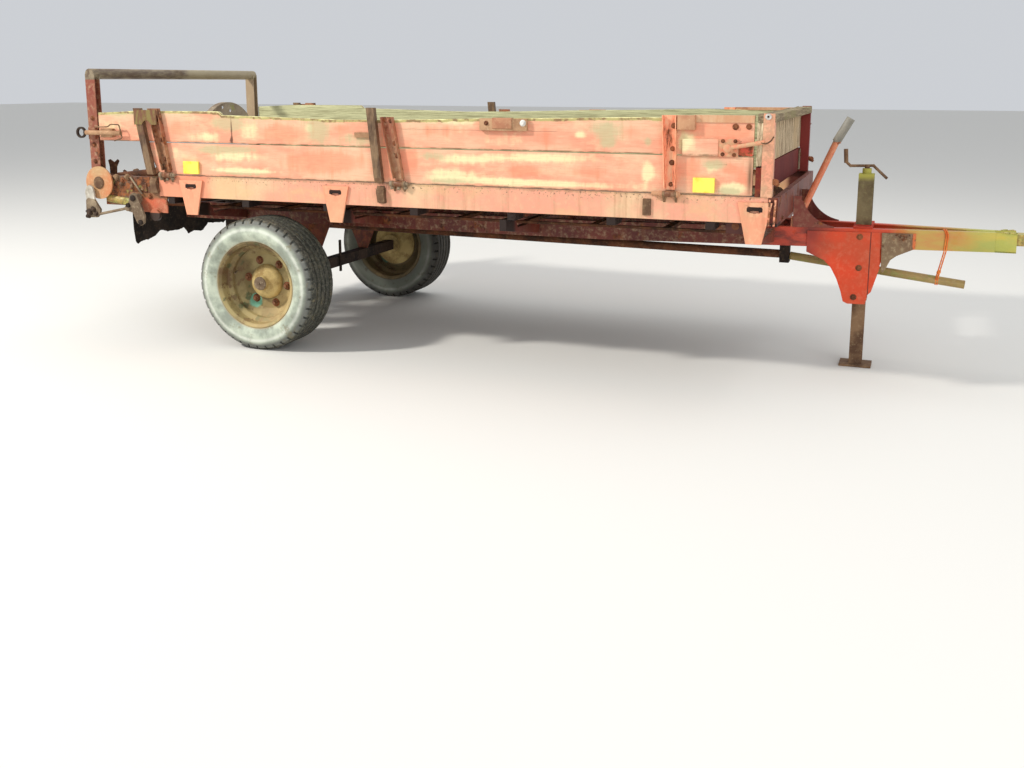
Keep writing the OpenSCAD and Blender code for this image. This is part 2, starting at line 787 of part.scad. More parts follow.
lever_y = -170;
lever_r = 18;
grip_r = 24;
module hand_lever() {
    color("salmon") place() {
        block([3105, lever_y - lever_r - 3, beam_top_z], [3165, lever_y - 8, beam_top_z + 60]);
        translate([3142, 0, beam_top_z + 35]) bar_y(7, lever_y - lever_r - 6, lever_y);
        rod([3136, lever_y, beam_top_z + 22], [3334, lever_y, 1316], lever_r);
        rod([3331, lever_y, 1309], [3403, lever_y, 1441], grip_r);
    }
}

// Beater

module beater() {
    color("saddlebrown") place() translate([-beater_back, 0, beater_z]) {
        bar_y(drum_r, -body_half + 66, body_half - 66);
        bar_y(beater_shaft_r, -body_half - 24, body_half + 5);
        for (i = [0 : blade_count - 1])
            translate([0, -body_half + 120 + i * (body_w - 240) / (blade_count - 1), 0])
                rotate([0, i * 137, 0]) rotate([0, 0, i % 2 == 0 ? 18 : -18]) rotate([90, 0, 0])
                    translate([0, 0, -5]) linear_extrude(10) polygon([
                        [-22, drum_r - 14], [22, drum_r - 14], [26, 95], [44, blade_r - 18], [34, blade_r - 6],
                        [10, blade_r - 26], [-16, blade_r - 6], [-30, blade_r - 12], [-22, 95]
                    ]);
    }
}

module crank_disc() {
    color("coral") place() translate([-beater_back, 0, beater_z]) difference() {
        union() {
            bar_y(disc_r, -body_half - 22, -body_half - 10);
            translate([-50, 0, -50]) bar_y(12, -body_half - 30, -body_half - 12);
        }
        bar_y(beater_shaft_r + seat_gap, -body_half - 40, -body_half);
    }
}

// Drop sides, built as the right one

// Worn top edge: places along the plank, and how far it has worn down there
worn_edge = [[-body_rear, 0], [-380, 0], [-330, -22], [600, -32], [1300, -8], [2660, 0]];
module planks(mid_rear) {
    color("salmon") {
        block([-mid_rear, -body_half, plank_mid_z], [body_front, -body_half + plank_t, plank_mid_z + plank_mid_h]);
        translate([0, -body_half + plank_t, 0]) rotate([90, 0, 0]) linear_extrude(plank_t) polygon(concat(
            [[-body_rear, plank_top_z], [body_front, plank_top_z], [body_front, side_top_z]],
            [for (i = [len(worn_edge) - 1 : -1 : 0]) [worn_edge[i][0], side_top_z + worn_edge[i][1]]]
        ));
        block([2614, -body_half - 14, 1258], [2790, -body_half, 1358]);
    }
}

// The outline of an upright that leans along the body, its width changing from foot to top
strap_low_z = hinge_z + 30;
module leaning(row, low_w, top_w, end) {
    top_z = side_top_z + row[2];
    polygon([
        [row[0] - low_w / 2, strap_low_z - end],
        [row[0] + low_w / 2, strap_low_z - end],
        [row[0] + row[1] + top_w / 2, top_z + end],
        [row[0] + row[1] - top_w / 2, top_z + end]
    ]);
}

strap_low_w = 62;
strap_top_w = 76;
stake_w = 50;
// Channel straps with the moving knuckles, and the stakes; a plate ties the rear pair at the top
module uprights() {
    color("indianred") for (row = straps) {
        translate([0, -body_half, 0]) rotate([90, 0, 0]) difference() {
            linear_extrude(stake_t) leaning(row, strap_low_w, strap_top_w, 0);
            translate([0, 0, strap_t]) linear_extrude(stake_t)
                leaning(row, strap_low_w - 2 * strap_t, strap_top_w - 2 * strap_t, 1);
        }
        translate([row[0], 0, 0]) difference() {
            union() {
                translate([0, -hinge_y, hinge_z]) bar_x(knuckle_r, -knuckle_len / 2, knuckle_len / 2);
                block([-knuckle_len / 2, -body_half - 8, hinge_z], [knuckle_len / 2, -body_half - 2, strap_low_z + 30]);
            }
            translate([0, -hinge_y, hinge_z]) bar_x(hinge_pin_r + running_gap, -knuckle_len, knuckle_len);
        }
    }
    color("saddlebrown") for (row = stakes) translate([0, -body_half, 0]) rotate([90, 0, 0])
        linear_extrude(stake_t) leaning(row, stake_w, stake_w, 0);
    color("saddlebrown") translate([0, -body_half - stake_t, 0]) rotate([90, 0, 0]) linear_extrude(6) difference() {
        translate([-900, 1375]) square([173, 92]);
        translate([-806, 1368]) circle(r = 34);
    }
    color("indianred") {
        block([2668, -body_half - 6, side_top_z - 18], [body_front, -body_half, side_top_z + 19]);
        block([2668, -body_half - 6, side_top_z], [body_front, -body_half + plank_t + 4, side_top_z + 19]);
    }
}

latch_y = -body_half - 36;
latch_ring_r = 36;
latch_rod_r = 15;
latch_z = 1318;
module latches() {
    color("rosybrown") {
        difference() {
            block([1470, -body_half - 22, side_top_z - 78], [1750, -body_half, side_top_z - 12]);
            block([1478, -body_half - 16, side_top_z - 90], [1742, -body_half - 6, side_top_z]);
        }
        block([2585, -body_half - 22, side_top_z - 56], [2665, -body_half, side_top_z - 20]);
        block([670, -body_half - 10, side_top_z - 134], [767, -body_half, side_top_z - 104]);
        block([2797, -body_half - 8, 1262], [2903, -body_half, 1352]);
        block([2838, -body_half - 26, 1290], [2878, -body_half, 1322]);
        rod([2850, -body_half - 20, 1306], [3036, -body_half - 20, 1341], 11);
        block([-1180, -body_half - 28, latch_z - 28], [-1090, -body_half, latch_z + 27]);
        translate([0, latch_y, latch_z]) bar_x(latch_rod_r, -latch_back + 2 * latch_ring_r - 8, -1012);
        translate([-latch_back + latch_ring_r, latch_y + 8, latch_z]) rotate([90, 0, 0]) linear_extrude(16)
            difference() {
                circle(r = latch_ring_r);
                circle(r = latch_ring_r - 11);
            }
    }
}

module reflectors() {
    color("yellow") for (x = [-503, 2732])
        block([x - 57, -body_half - 14, 1072], [x + 57, -body_half, 1150]);
}

module planks_right() { place() planks(broken_rear); }
module uprights_right() { place() uprights(); }
module latches_right() { place() latches(); }
module reflectors_right() { place() reflectors(); }
module planks_left() { place() mirror([0, 1, 0]) planks(body_rear); }
module uprights_left() { place() mirror([0, 1, 0]) uprights(); }
module latches_left() { place() mirror([0, 1, 0]) latches(); }
module reflectors_left() { place() mirror([0, 1, 0]) reflectors(); }

// Wheels, built as the right one with the outer face towards -Y

// Turns a profile of radius and distance inward from the sidewall about the axle
module spun_on_axle() {
    translate([0, -wheel_outer_y, wheel_z]) rotate([-90, 0, 0]) rotate_extrude($fn = 96) children();
}

rim_from = (tyre_w - rim_w) / 2;
rim_seat_r = rim_flange_r - 15;
tyre_side_r = 335;
groove_w = 12;
groove_d = 9;
grooves = [-72, -24, 24, 72];
notch_n = 40;
notch_w = 14;
notch_d = 28;
notch_len = 46;
module tyre() {
    half = tyre_w / 2;
    bead_half = rim_w / 2 - rim_t - seat_gap - 2;
    wall = half - 24;
    color("dimgray") difference() {
        spun_on_axle() translate([0, half]) polygon(concat(
            [[rim_seat_r + seat_gap, -bead_half], [rim_flange_r + 1, -bead_half], [rim_flange_r + 3, -bead_half - 8]],
            [for (a = [30 : 20 : 90]) [tyre_side_r - 50 * cos(a), -wall - 24 * sin(a)]],
            [[tyre_r - 44, -half + 4], [tyre_r - 14, -half + 22], [tyre_r, -half + 48]],
            [for (y = grooves, p = [[0, -1], [-groove_d, -1], [-groove_d, 1], [0, 1]])
                [tyre_r + p[0], y + p[1] * groove_w / 2]],
            [[tyre_r, half - 48], [tyre_r - 14, half - 22], [tyre_r - 44, half - 4]],
            [for (a = [90 : -20 : 30]) [tyre_side_r - 50 * cos(a), wall + 24 * sin(a)]],
            [[rim_flange_r + 3, bead_half + 8], [rim_flange_r + 1, bead_half], [rim_seat_r + seat_gap, bead_half]]
        ));
        translate([0, 0, wheel_z]) for (i = [0 : notch_n - 1], side = [0, 1]) {
            y = -wheel_outer_y + (side == 0 ? -1 : tyre_w - notch_len + 1);
            rotate([0, (i + side / 2) * 360 / notch_n, 0])
                block([tyre_r - notch_d, y, -notch_w / 2], [tyre_r + 5, y + notch_len, notch_w / 2]);
        }
    }
}

nut_r = 19;
nut_circle_r = 142;
module rim() {
    well_in = rim_well_r - rim_t;
    seat_in = rim_seat_r - rim_t;
    color("tan") {
        spun_on_axle() {
            translate([0, rim_from]) polygon([
                [rim_flange_r - rim_t, 0], [rim_flange_r, 0], [rim_flange_r, rim_t], [rim_seat_r, rim_t + 2],
                [rim_seat_r - 3, 70], [rim_well_r, 90], [rim_well_r, 150], [rim_seat_r - 3, 170],
                [rim_seat_r, rim_w - rim_t - 2], [rim_flange_r, rim_w - rim_t], [rim_flange_r, rim_w],
                [rim_flange_r - rim_t, rim_w], [seat_in, rim_w - rim_t - 4], [seat_in - 3, 172], [well_in, 153],
                [well_in, 87], [seat_in - 3, 68], [seat_in, rim_t + 4]
            ]);
            polygon([
                [well_in + 1, 136], [206, 143], [187, 156], [172, dish_y - 8], [hub_r + 1, dish_y - 8],
                [hub_r + 1, dish_y], [175, dish_y], [191, 164], [209, 151], [well_in + 1, 145]
            ]);
        }
        translate([0, -wheel_outer_y + dish_y - 7, wheel_z]) for (i = [0 : stud_count - 1])
            rotate([0, 8 + i * 360 / stud_count, 0]) translate([nut_circle_r, 0, 0]) rotate([90, 0, 0]) {
                cylinder(r = nut_r, h = 18, $fn = 6);
                cylinder(r = 9, h = 30);
            }
    }
}

hub_flange_r = 165;
hub_barrel_r = 72;
hub_back_y = dish_y + 92;
module hub() {
    color("saddlebrown") difference() {
        spun_on_axle() {
            polygon([
                [0, 84], [34, 84], [42, 88], [45, 96], [45, 112], [72, 118], [hub_r - 12, 132], [hub_r - 2, 150],
                [hub_r, 160], [hub_r, dish_y + seat_gap], [hub_flange_r, dish_y + seat_gap],
                [hub_flange_r, dish_y + 12], [hub_r, dish_y + 14], [hub_barrel_r, dish_y + 40],
                [hub_barrel_r, hub_back_y], [0, hub_back_y]
            ]);
        }
        translate([0, 0, wheel_z]) bar_y(stub_r + running_gap, -stub_end_y - 3, -wheel_outer_y + hub_back_y + 1);
    }
}

module tyre_right() { place() tyre(); }
module rim_right() { place() rim(); }
module hub_right() { place() hub(); }
module tyre_left() { place() mirror([0, 1, 0]) tyre(); }
module rim_left() { place() mirror([0, 1, 0]) rim(); }
module hub_left() { place() mirror([0, 1, 0]) hub(); }

chassis_beams();
tow_tongue();
tow_eye();
axle_beam();
axle_brackets();
brake_lever();
crossmembers();
sills();
sill_brackets();
stake_pockets();
hinge_ears();
floor_boards();
headboard_boards();
headboard_cleats();
front_crossmember();
front_braces();
corner_posts();
bearing_arms();
hoop();
rear_guard();
rear_gearbox();
rear_sheet();
conveyor_shafts();
conveyor();
shaft_plates();
feed_linkage();
drive_tube();
drive_hanger();
pto_shaft();
leg_plates();
drawbar_gussets();
jack_tube();
jack_crank();
hand_lever();
jack_leg();
beater();
crank_disc();
planks_right();
uprights_right();
latches_right();
reflectors_right();
planks_left();
uprights_left();
latches_left();
reflectors_left();
tyre_right();
rim_right();
hub_right();
tyre_left();
rim_left();
hub_left();
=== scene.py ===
# Looks of the trailed manure spreader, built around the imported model
import math

import bmesh
import bpy
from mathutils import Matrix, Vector, noise


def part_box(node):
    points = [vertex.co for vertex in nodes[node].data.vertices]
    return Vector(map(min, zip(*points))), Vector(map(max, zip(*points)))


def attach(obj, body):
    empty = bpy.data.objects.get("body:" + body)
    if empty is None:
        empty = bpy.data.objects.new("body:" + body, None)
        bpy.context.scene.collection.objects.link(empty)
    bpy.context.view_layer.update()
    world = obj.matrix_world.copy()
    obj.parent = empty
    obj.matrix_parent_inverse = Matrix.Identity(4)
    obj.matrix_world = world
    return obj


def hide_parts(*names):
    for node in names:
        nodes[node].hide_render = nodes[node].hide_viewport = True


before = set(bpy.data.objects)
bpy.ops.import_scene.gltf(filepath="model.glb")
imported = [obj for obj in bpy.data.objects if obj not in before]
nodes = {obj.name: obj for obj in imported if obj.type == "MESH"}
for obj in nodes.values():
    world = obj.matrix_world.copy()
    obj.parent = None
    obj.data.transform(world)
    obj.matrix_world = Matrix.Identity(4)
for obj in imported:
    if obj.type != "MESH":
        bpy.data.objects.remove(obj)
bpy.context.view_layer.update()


# Places shared by many pieces, in metres


def middle(node):
    low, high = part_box(node)
    return (low + high) / 2


AXLE = middle("tyre_right").x
WHEEL_Z = middle("tyre_right").z
# How far out the faces of the boards, straps and rear posts and the hinge pins lie, and the pins' height
BOARD_FACE = 0.915
STRAP_FACE = 0.920
POST_FACE = 0.909
HINGE_Y = 0.933
HINGE_Z = 1.059
SIDES = (("right", -1), ("left", 1))


def at(x):
    """A place along the machine, given ahead of the axle."""
    return x + AXLE


# The drawbar's beams converge from the first place ahead of the axle to the second
BEAM_BACK, BEAM_BACK_HALF = 2.000, 0.360
BEAM_FRONT, BEAM_FRONT_HALF = 4.200, 0.062
BEAM_LEAN = (BEAM_BACK_HALF - BEAM_FRONT_HALF) / (BEAM_FRONT - BEAM_BACK)
LEG_PLATE_T = 0.0083


def beam_face(x):
    """How far out the beams' outer faces lie, at a place ahead of the axle."""
    return BEAM_BACK_HALF - (x - BEAM_BACK) * BEAM_LEAN


def placed(name, data):
    """A new object in the scene."""
    obj = bpy.data.objects.new(name, data)
    bpy.context.scene.collection.objects.link(obj)
    return obj


# Materials, by their names; their tones are given in the usual 0 to 255 steps
mats = {}


def linear(tone):
    """A tone as linear light."""
    shares = [value / 255 for value in tone]
    light = [share / 12.92 if share <= 0.04045 else ((share + 0.055) / 1.055) ** 2.4 for share in shares]
    return (*light, 1.0)


class Shader:
    """A material whose colour, roughness and bump are built up from noises and masks."""

    def __init__(self, name, roughness, specular=0.4):
        mat = bpy.data.materials.new(name)
        mat.use_nodes = True
        mats[name] = mat
        self.tree = mat.node_tree
        self.base = self.tree.nodes["Principled BSDF"]
        self.base.inputs["Roughness"].default_value = roughness
        self.base.inputs["Specular IOR Level"].default_value = specular
        self.where = self.tree.nodes.new("ShaderNodeTexCoord").outputs["Object"]

    def put(self, socket, value):
        """Links a socket's value, or sets a plain one."""
        if isinstance(value, bpy.types.NodeSocket):
            self.tree.links.new(value, socket)
        else:
            socket.default_value = value

    def add(self, kind, inputs):
        """A new node with its inputs."""
        node = self.tree.nodes.new("ShaderNode" + kind)
        for key, value in inputs.items():
            self.put(node.inputs[key], value)
        return node

    def noise(self, scale, detail=5.0, rough=0.55, stretch=(1, 1, 1), shift=0.0):
        place = (shift, shift * 0.7, shift * 1.3)
        mapping = self.add("Mapping", {"Vector": self.where, "Scale": stretch, "Location": place})
        spot = mapping.outputs["Vector"]
        node = self.add("TexNoise", {"Vector": spot, "Scale": scale, "Detail": detail, "Roughness": rough})
        return node.outputs["Fac"]

    def step(self, value, low, high):
        """0 below low, 1 above high, smooth between; low may be the larger."""
        ends = (0, 1) if low < high else (1, 0)
        node = self.add("MapRange", {"Value": value, "From Min": min(low, high), "From Max": max(low, high),
                                     "To Min": ends[0], "To Max": ends[1]})
        node.interpolation_type = "SMOOTHSTEP"
        return node.outputs["Result"]

    def math(self, kind, a, b=0.5):
        node = self.add("Math", {0: a, 1: b})
        node.operation = kind
        return node.outputs[0]

    def less(self, a, b):
        return self.math("SUBTRACT", a, b)

    def times(self, a, b):
        return self.math("MULTIPLY", a, b)

    def plus(self, a, b):
        return self.math("ADD", a, b)

    def most(self, a, b):
        return self.math("MAXIMUM", a, b)

    def axis(self, letter):
        return self.add("SeparateXYZ", {0: self.where}).outputs[letter]

    def ahead(self):
        """The place along the machine, ahead of the axle."""
        return self.less(self.axis("X"), AXLE)

    def outward(self):
        return self.math("ABSOLUTE", self.axis("Y"))

    def radius(self, x, z):
        return self.math("SQRT", self.plus(self.times(x, x), self.times(z, z)))

    def band(self, value, low, high, soft):
        rise = self.step(value, low - soft, low + soft)
        return self.times(rise, self.step(value, high + soft, high - soft))

    def mark(self, name):
        """A number kept at the mesh's points, such as how worn it is there."""
        node = self.add("Attribute", {})
        node.attribute_name = name
        return node.outputs["Fac"]

    def edges(self):
        """1 along the edges that stand out."""
        return self.step(self.add("NewGeometry", {}).outputs["Pointiness"], 0.53, 0.60)

    def mix(self, share, a, b):
        """Two tones or colour sockets, mixed."""
        node = self.tree.nodes.new("ShaderNodeMix")
        node.data_type = "RGBA"
        self.put(node.inputs[0], share)
        for index, value in ((6, a), (7, b)):
            self.put(node.inputs[index], linear(value) if isinstance(value, tuple) else value)
        return node.outputs[2]

    def start(self, share, a, b):
        self.now = self.mix(share, a, b)

    def lay(self, mask, over, share=1.0):
        """Covers what is there so far, where the mask is 1."""
        if share != 1.0:
            mask = self.times(mask, share)
        self.now = self.mix(mask, self.now, over)

    def laid(self):
        self.put(self.base.inputs["Base Color"], self.now)

    def moss(self, scale, share, shift, high):
        grown = self.noise(scale, 8, 0.7, shift=shift + 5)
        self.lay(self.step(grown, 0.62 - 0.3 * share, high - 0.2 * share), MOSS, 0.85)

    def rough(self, low, high, share):
        node = self.add("MapRange", {"Value": share, "To Min": low, "To Max": high})
        self.put(self.base.inputs["Roughness"], node.outputs["Result"])

    def bump(self, height, strength, distance):
        node = self.add("Bump", {"Strength": strength, "Distance": distance, "Height": height})
        self.put(self.base.inputs["Normal"], node.outputs["Normal"])


RUST_DARK = (62, 38, 26)
RUST = (112, 66, 40)
RUST_BRIGHT = (158, 92, 50)
MOSS = (146, 148, 78)
CREAM = (232, 214, 168)


def painted(name, fresh, faded, rust, stain, moss=0.0, scale=1.0, roughness=0.55, shift=0, zones=None,
            chalk=0.35):
    """Old paint on steel: two tones, run-down stains, rust in blots and on edges, moss on top."""
    s = Shader(name, roughness)
    wide = s.noise(3.2 * scale, 4, shift=shift)
    fine = s.noise(34 * scale, 6, 0.7, shift=shift + 3)
    s.start(s.step(wide, 0.36, 0.64), fresh, faded)
    s.lay(s.step(fine, 0.45, 0.75), CREAM, chalk)
    drips = s.noise(22 * scale, 4, 0.6, (1, 1, 0.07), shift + 7)
    s.lay(s.step(drips, 0.52, 0.72), (150, 104, 66), stain)
    blots = s.noise(8 * scale, 10, 0.72, shift=shift + 11)
    limit = 0.72 - 0.3 * rust
    rusty = s.step(blots, limit, limit + 0.05)
    rusty = s.most(rusty, s.times(s.edges(), s.step(fine, 0.40, 0.55)))
    patina = s.mix(s.step(s.noise(26 * scale, 8, 0.7, shift=shift), 0.38, 0.66), RUST_DARK, RUST_BRIGHT)
    s.lay(rusty, patina, 0.9)
    if moss:
        s.moss(11 * scale, moss, shift, 0.70)
    if zones:
        zones(s)
    s.laid()
    s.rough(roughness - 0.08, 0.9, rusty)
    height = s.plus(s.times(fine, 0.35), s.times(s.step(blots, limit - 0.03, limit + 0.09), 0.8))
    s.bump(height, 0.45, 0.0016)


def rusted(name, dark=RUST_DARK, light=RUST, pale=(150, 118, 82), scale=1.0, moss=0.0, shift=0, zones=None):
    """Bare steel, rusted all over, with pale dust in places."""
    s = Shader(name, 0.82, 0.3)
    wide = s.noise(6 * scale, 6, 0.6, shift=shift)
    fine = s.noise(48 * scale, 8, 0.75, shift=shift + 2)
    s.start(s.step(wide, 0.38, 0.62), dark, light)
    s.lay(s.step(fine, 0.5, 0.72), pale, 0.6)
    if moss:
        s.moss(14 * scale, moss, shift, 0.72)
    if zones:
        zones(s)
    s.laid()
    s.bump(s.plus(s.times(fine, 0.6), s.times(wide, 0.5)), 0.6, 0.002)


# Each stake: its foot ahead of the axle, how far its top is ahead of the foot, and its top's height
STAKES = [(-0.810, -0.074, 1.477), (0.828, -0.043, 1.494)]
STRAP_LOW = 1.089


def strap_zones(s):
    """Dark brown stakes, a salmon front strap and top strip, a mossy tie plate and rusty hinges."""
    x = s.ahead()
    z = s.axis("Z")
    grain = s.noise(30, 7, 0.7, (1, 1, 0.25), 31)
    salmon = s.mix(s.step(grain, 0.42, 0.62), (240, 150, 112), (238, 184, 144))
    s.lay(s.times(s.step(x, 2.40, 2.44), s.step(grain, 0.34, 0.46)), salmon)
    strip = s.times(s.step(x, 2.655, 2.665), s.step(z, 1.425, 1.435))
    s.lay(strip, s.mix(s.step(grain, 0.36, 0.7), (202, 148, 110), (214, 174, 136)))
    brown = s.mix(s.step(grain, 0.36, 0.64), (76, 54, 38), (132, 106, 78))
    for foot, lean, top in STAKES:
        rise = s.times(s.less(z, STRAP_LOW), lean / (top - STRAP_LOW))
        line = s.less(s.less(x, foot), rise)
        s.lay(s.times(s.band(line, -0.0265, 0.0265, 0.001), s.step(z, 1.0, 1.02)), brown)
    tie = s.times(s.band(x, -0.902, -0.726, 0.001), s.step(s.outward(), 0.9465, 0.9475))
    mossy = s.mix(s.step(grain, 0.40, 0.60), (112, 70, 50), (128, 112, 62))
    s.lay(s.times(tie, s.step(z, 1.3, 1.32)), mossy)
    s.lay(s.step(z, 1.084, 1.078), s.mix(s.step(grain, 0.4, 0.6), RUST, (150, 112, 84)))


def sill_zones(s):
    """Dirt along the top edge, a redder rear end, the dark inner side at the front, and yellow stains."""
    x = s.ahead()
    z = s.axis("Z")
    ragged = s.noise(26, 7, 0.7, (1, 1, 0.5), 41)
    high = s.plus(z, s.times(ragged, 0.05))
    s.lay(s.step(high, 1.066, 1.082), (142, 112, 78), 0.55)
    spots = s.times(s.step(s.noise(70, 4, 0.6, shift=43), 0.58, 0.64), s.step(high, 1.03, 1.06))
    s.lay(spots, (92, 62, 44), 0.8)
    s.lay(s.step(s.plus(x, s.times(ragged, 0.1)), -0.28, -0.38), (224, 138, 106), 0.8)
    front = s.times(s.step(x, 2.93, 2.97), s.step(s.axis("Y"), -0.90, -0.89))
    s.lay(front, (96, 44, 34))
    yellow = s.times(s.step(s.noise(2.2, 5, 0.6, (1, 1, 2), 44), 0.50, 0.62), 0.42)
    yellow = s.times(yellow, s.step(x, -0.42, -0.30))
    s.lay(yellow, (222, 186, 132))


def under_shade_zones(s):
    """Painted shade: the bearers' ends below the sills are darkened, as they lie in shade under the body."""
    outside = s.step(s.outward(), 0.74, 0.80)
    low = s.step(s.axis("Z"), 0.93, 0.92)
    s.lay(s.times(outside, low), (36, 20, 13))


def post_zones(s):
    """The left post has kept its dark red paint."""
    s.lay(s.step(s.axis("Y"), 0.0, 0.1), (128, 42, 36))


def shaft_plate_zones(s):
    """Tan rust along the rear plates' tops, a dark iron boss below them, and darker front plates."""
    z = s.plus(s.axis("Z"), s.times(s.noise(18, 5), 0.03))
    s.lay(s.step(z, 0.905, 0.93), (140, 96, 64))
    s.lay(s.step(s.ahead(), 1.0, 1.1), (70, 32, 24))
    s.lay(s.times(s.step(s.axis("Z"), 0.813, 0.810), s.step(s.ahead(), 0.5, 0.4)), (58, 42, 34))


def leg_zones(s):
    """Fading into the beam's dark red at the rear, and painted shade in the groove before the thinner front
    strip.
    """
    x = s.plus(s.ahead(), s.times(s.noise(6, 6), 0.12))
    s.lay(s.step(x, 3.42, 3.26), (138, 46, 34), 0.85)
    # Painted shade: a dark line in the groove before the front strip
    groove_shade = s.band(s.ahead(), 3.545, 3.550, 0.0015)
    s.lay(groove_shade, (62, 30, 22), 0.9)


def latch_zones(s):
    """A dark ring at the rear, salmon paint on the front handle and its bolt plate."""
    x = s.ahead()
    s.lay(s.step(x, -1.288, -1.294), (54, 42, 34))
    paint = s.mix(s.step(s.noise(26, 6), 0.4, 0.62), (222, 140, 108), (206, 164, 126))
    s.lay(s.step(x, 2.70, 2.72), paint)


def bracket_zones(s):
    """Paler salmon in wide patches."""
    s.lay(s.step(s.noise(5, 5, shift=47), 0.42, 0.6), (236, 158, 122), 0.6)


def beam_zones(s):
    """Dark red under the body, orange-red by the leg, tan and mossy along the drawbar."""
    x = s.plus(s.ahead(), s.times(s.noise(4, 5), 0.16))
    patch = s.noise(5, 7, 0.65, (0.5, 1, 1.6), 51)
    dull = s.mix(s.step(patch, 0.44, 0.56), (112, 42, 32), (176, 60, 38))
    s.lay(s.step(x, 2.95, 3.15), dull, 0.9)
    s.lay(s.step(x, 3.30, 3.50), (206, 72, 40))
    tan = s.mix(s.step(patch, 0.38, 0.60), (206, 132, 78), (196, 164, 84))
    s.lay(s.step(x, 3.70, 3.86), tan)
    mossy = s.mix(s.step(patch, 0.4, 0.6), (190, 170, 78), (168, 168, 84))
    s.lay(s.step(x, 4.00, 4.22), mossy)


def jack_zones(s):
    """Mossy brown, yellow-green at the top, and a red collar where it passes the beams."""
    z = s.plus(s.axis("Z"), s.times(s.noise(20, 5), 0.02))
    s.lay(s.step(z, 1.09, 1.13), (170, 164, 78))
    s.lay(s.band(s.axis("Z"), 0.818, 0.836, 0.002), (190, 56, 38), 0.9)


def lever_zones(s):
    """A grey grip at the top."""
    s.lay(s.step(s.axis("Z"), 1.305, 1.312), s.mix(s.noise(30, 6), (96, 94, 86), (160, 154, 140)))


def hoop_zones(s):
    """A grey-brown cross tube on red posts, and a beige left post."""
    grain = s.noise(24, 7, 0.7, (1, 0.3, 1), 61)
    worn = s.mix(s.step(grain, 0.38, 0.62), (100, 82, 66), (142, 128, 104))
    s.lay(s.step(s.axis("Z"), 1.652, 1.658), worn)
    s.lay(s.step(s.axis("Y"), 0.0, 0.1), (170, 156, 124), 0.7)


def plate_zones(s):
    """A brown gusset with an orange stripe at its front end."""
    stripe = s.step(s.ahead(), 3.768, 3.774)
    s.lay(s.times(stripe, s.step(s.noise(24, 5), 0.36, 0.5)), (214, 112, 62))


def side_timber():
    """The drop sides' boards: bleached salmon paint, with the stains that are kept at the points, and a
    painted highlight along the top edge.
    """
    s = Shader("salmon_boards", 0.68)
    z = s.axis("Z")
    wide = s.noise(3.0, 6, 0.62, (0.7, 1, 1.8), 4)
    s.start(s.step(wide, 0.36, 0.64), (230, 154, 124), (231, 184, 150))
    cloud = s.noise(9, 7, 0.68, (0.6, 1, 1.4), 9)
    fade = s.times(s.step(cloud, 0.46, 0.70), 0.55)
    s.lay(fade, (230, 206, 164))
    streaks = s.noise(7, 8, 0.72, (0.9, 12, 30), 2)
    fall = s.noise(20, 5, 0.6, (1.4, 1, 0.16), 6)

    def spread(mark, gain=0.75):
        """A mark with its border broken up by the noises."""
        broken = s.plus(mark, s.times(s.less(s.plus(cloud, fall), 1.0), gain))
        return s.times(s.step(broken, 0.22, 0.72), s.step(mark, 0.02, 0.15))

    s.lay(spread(s.mark("hot")), (238, 138, 104), 0.6)
    s.lay(spread(s.mark("pale")), (236, 228, 176), 0.85)
    s.lay(spread(s.mark("green")), (188, 180, 138), 0.75)
    s.lay(s.step(streaks, 0.50, 0.72), (176, 112, 78), 0.42)
    pores = s.noise(5, 9, 0.8, (1.4, 20, 60), 61)
    s.lay(s.step(pores, 0.54, 0.66), (150, 92, 64), 0.36)
    s.lay(s.step(pores, 0.46, 0.34), (246, 214, 176), 0.22)
    s.lay(s.step(fall, 0.55, 0.72), (198, 138, 96), 0.22)
    specks = s.step(s.noise(64, 3, 0.6, (0.5, 1, 1), 8), 0.70, 0.76)
    s.lay(specks, (112, 76, 52), 0.6)
    s.lay(spread(s.mark("dark"), 0.3), (84, 52, 36), 0.9)
    x = s.ahead()
    wander = s.times(s.less(s.noise(9, 4, shift=21), 0.5), 0.012)
    crack = s.times(s.band(s.plus(z, wander), 1.3735, 1.3750, 0.0008), s.band(x, 0.98, 1.92, 0.02))
    joint = s.band(s.plus(x, s.times(wander, 0.2)), -0.1978, -0.1962, 0.0006)
    joint = s.times(joint, s.band(z, 1.27, 1.44, 0.004))
    s.lay(s.most(crack, joint), (92, 56, 40), 0.85)
    foot = s.most(s.band(z, 1.264, 1.272, 0.005), s.band(z, 1.058, 1.066, 0.004))
    s.lay(s.times(foot, s.step(s.noise(14, 6), 0.35, 0.6)), (112, 84, 56))
    worn = s.plus(s.mark("worn"), s.times(s.less(s.noise(12, 6, 0.65, shift=3), 0.5), 0.8))
    moss = s.mix(s.step(s.noise(30, 5, shift=13), 0.42, 0.6), (176, 168, 106), (128, 104, 66))
    s.lay(s.step(worn, 0.34, 0.52), moss, 0.92)
    # A painted highlight: the pale crest along the boards' top edge, as if sunlit
    s.lay(s.step(worn, 0.86, 0.98), (238, 230, 168))
    bare = s.mix(s.step(streaks, 0.4, 0.65), (206, 206, 160), (150, 146, 108))
    s.lay(s.mark("inner"), bare)
    s.lay(s.mark("raw"), (112, 86, 60))
    s.laid()
    s.rough(0.62, 0.88, cloud)
    s.bump(s.plus(s.times(streaks, 0.7), s.times(specks, -0.6)), 0.55, 0.002)


def grey_timber(name, pale, dark, green, stretch, shift=0.0):
    """Bare weathered boards, with their grain along the axis whose stretch is small."""
    s = Shader(name, 0.86, 0.25)
    grain = s.noise(9, 10, 0.75, stretch, shift)
    lines = s.noise(26, 4, 0.6, stretch, shift + 4)
    s.start(s.step(grain, 0.36, 0.66), dark, pale)
    s.lay(s.step(lines, 0.55, 0.70), dark, 0.7)
    grown = s.step(s.noise(3.4, 8, 0.65, (1, 1, 1), shift + 8), 0.46, 0.62)
    s.lay(grown, green, 0.7)
    s.laid()
    s.bump(s.plus(grain, s.times(lines, -0.5)), 0.7, 0.003)


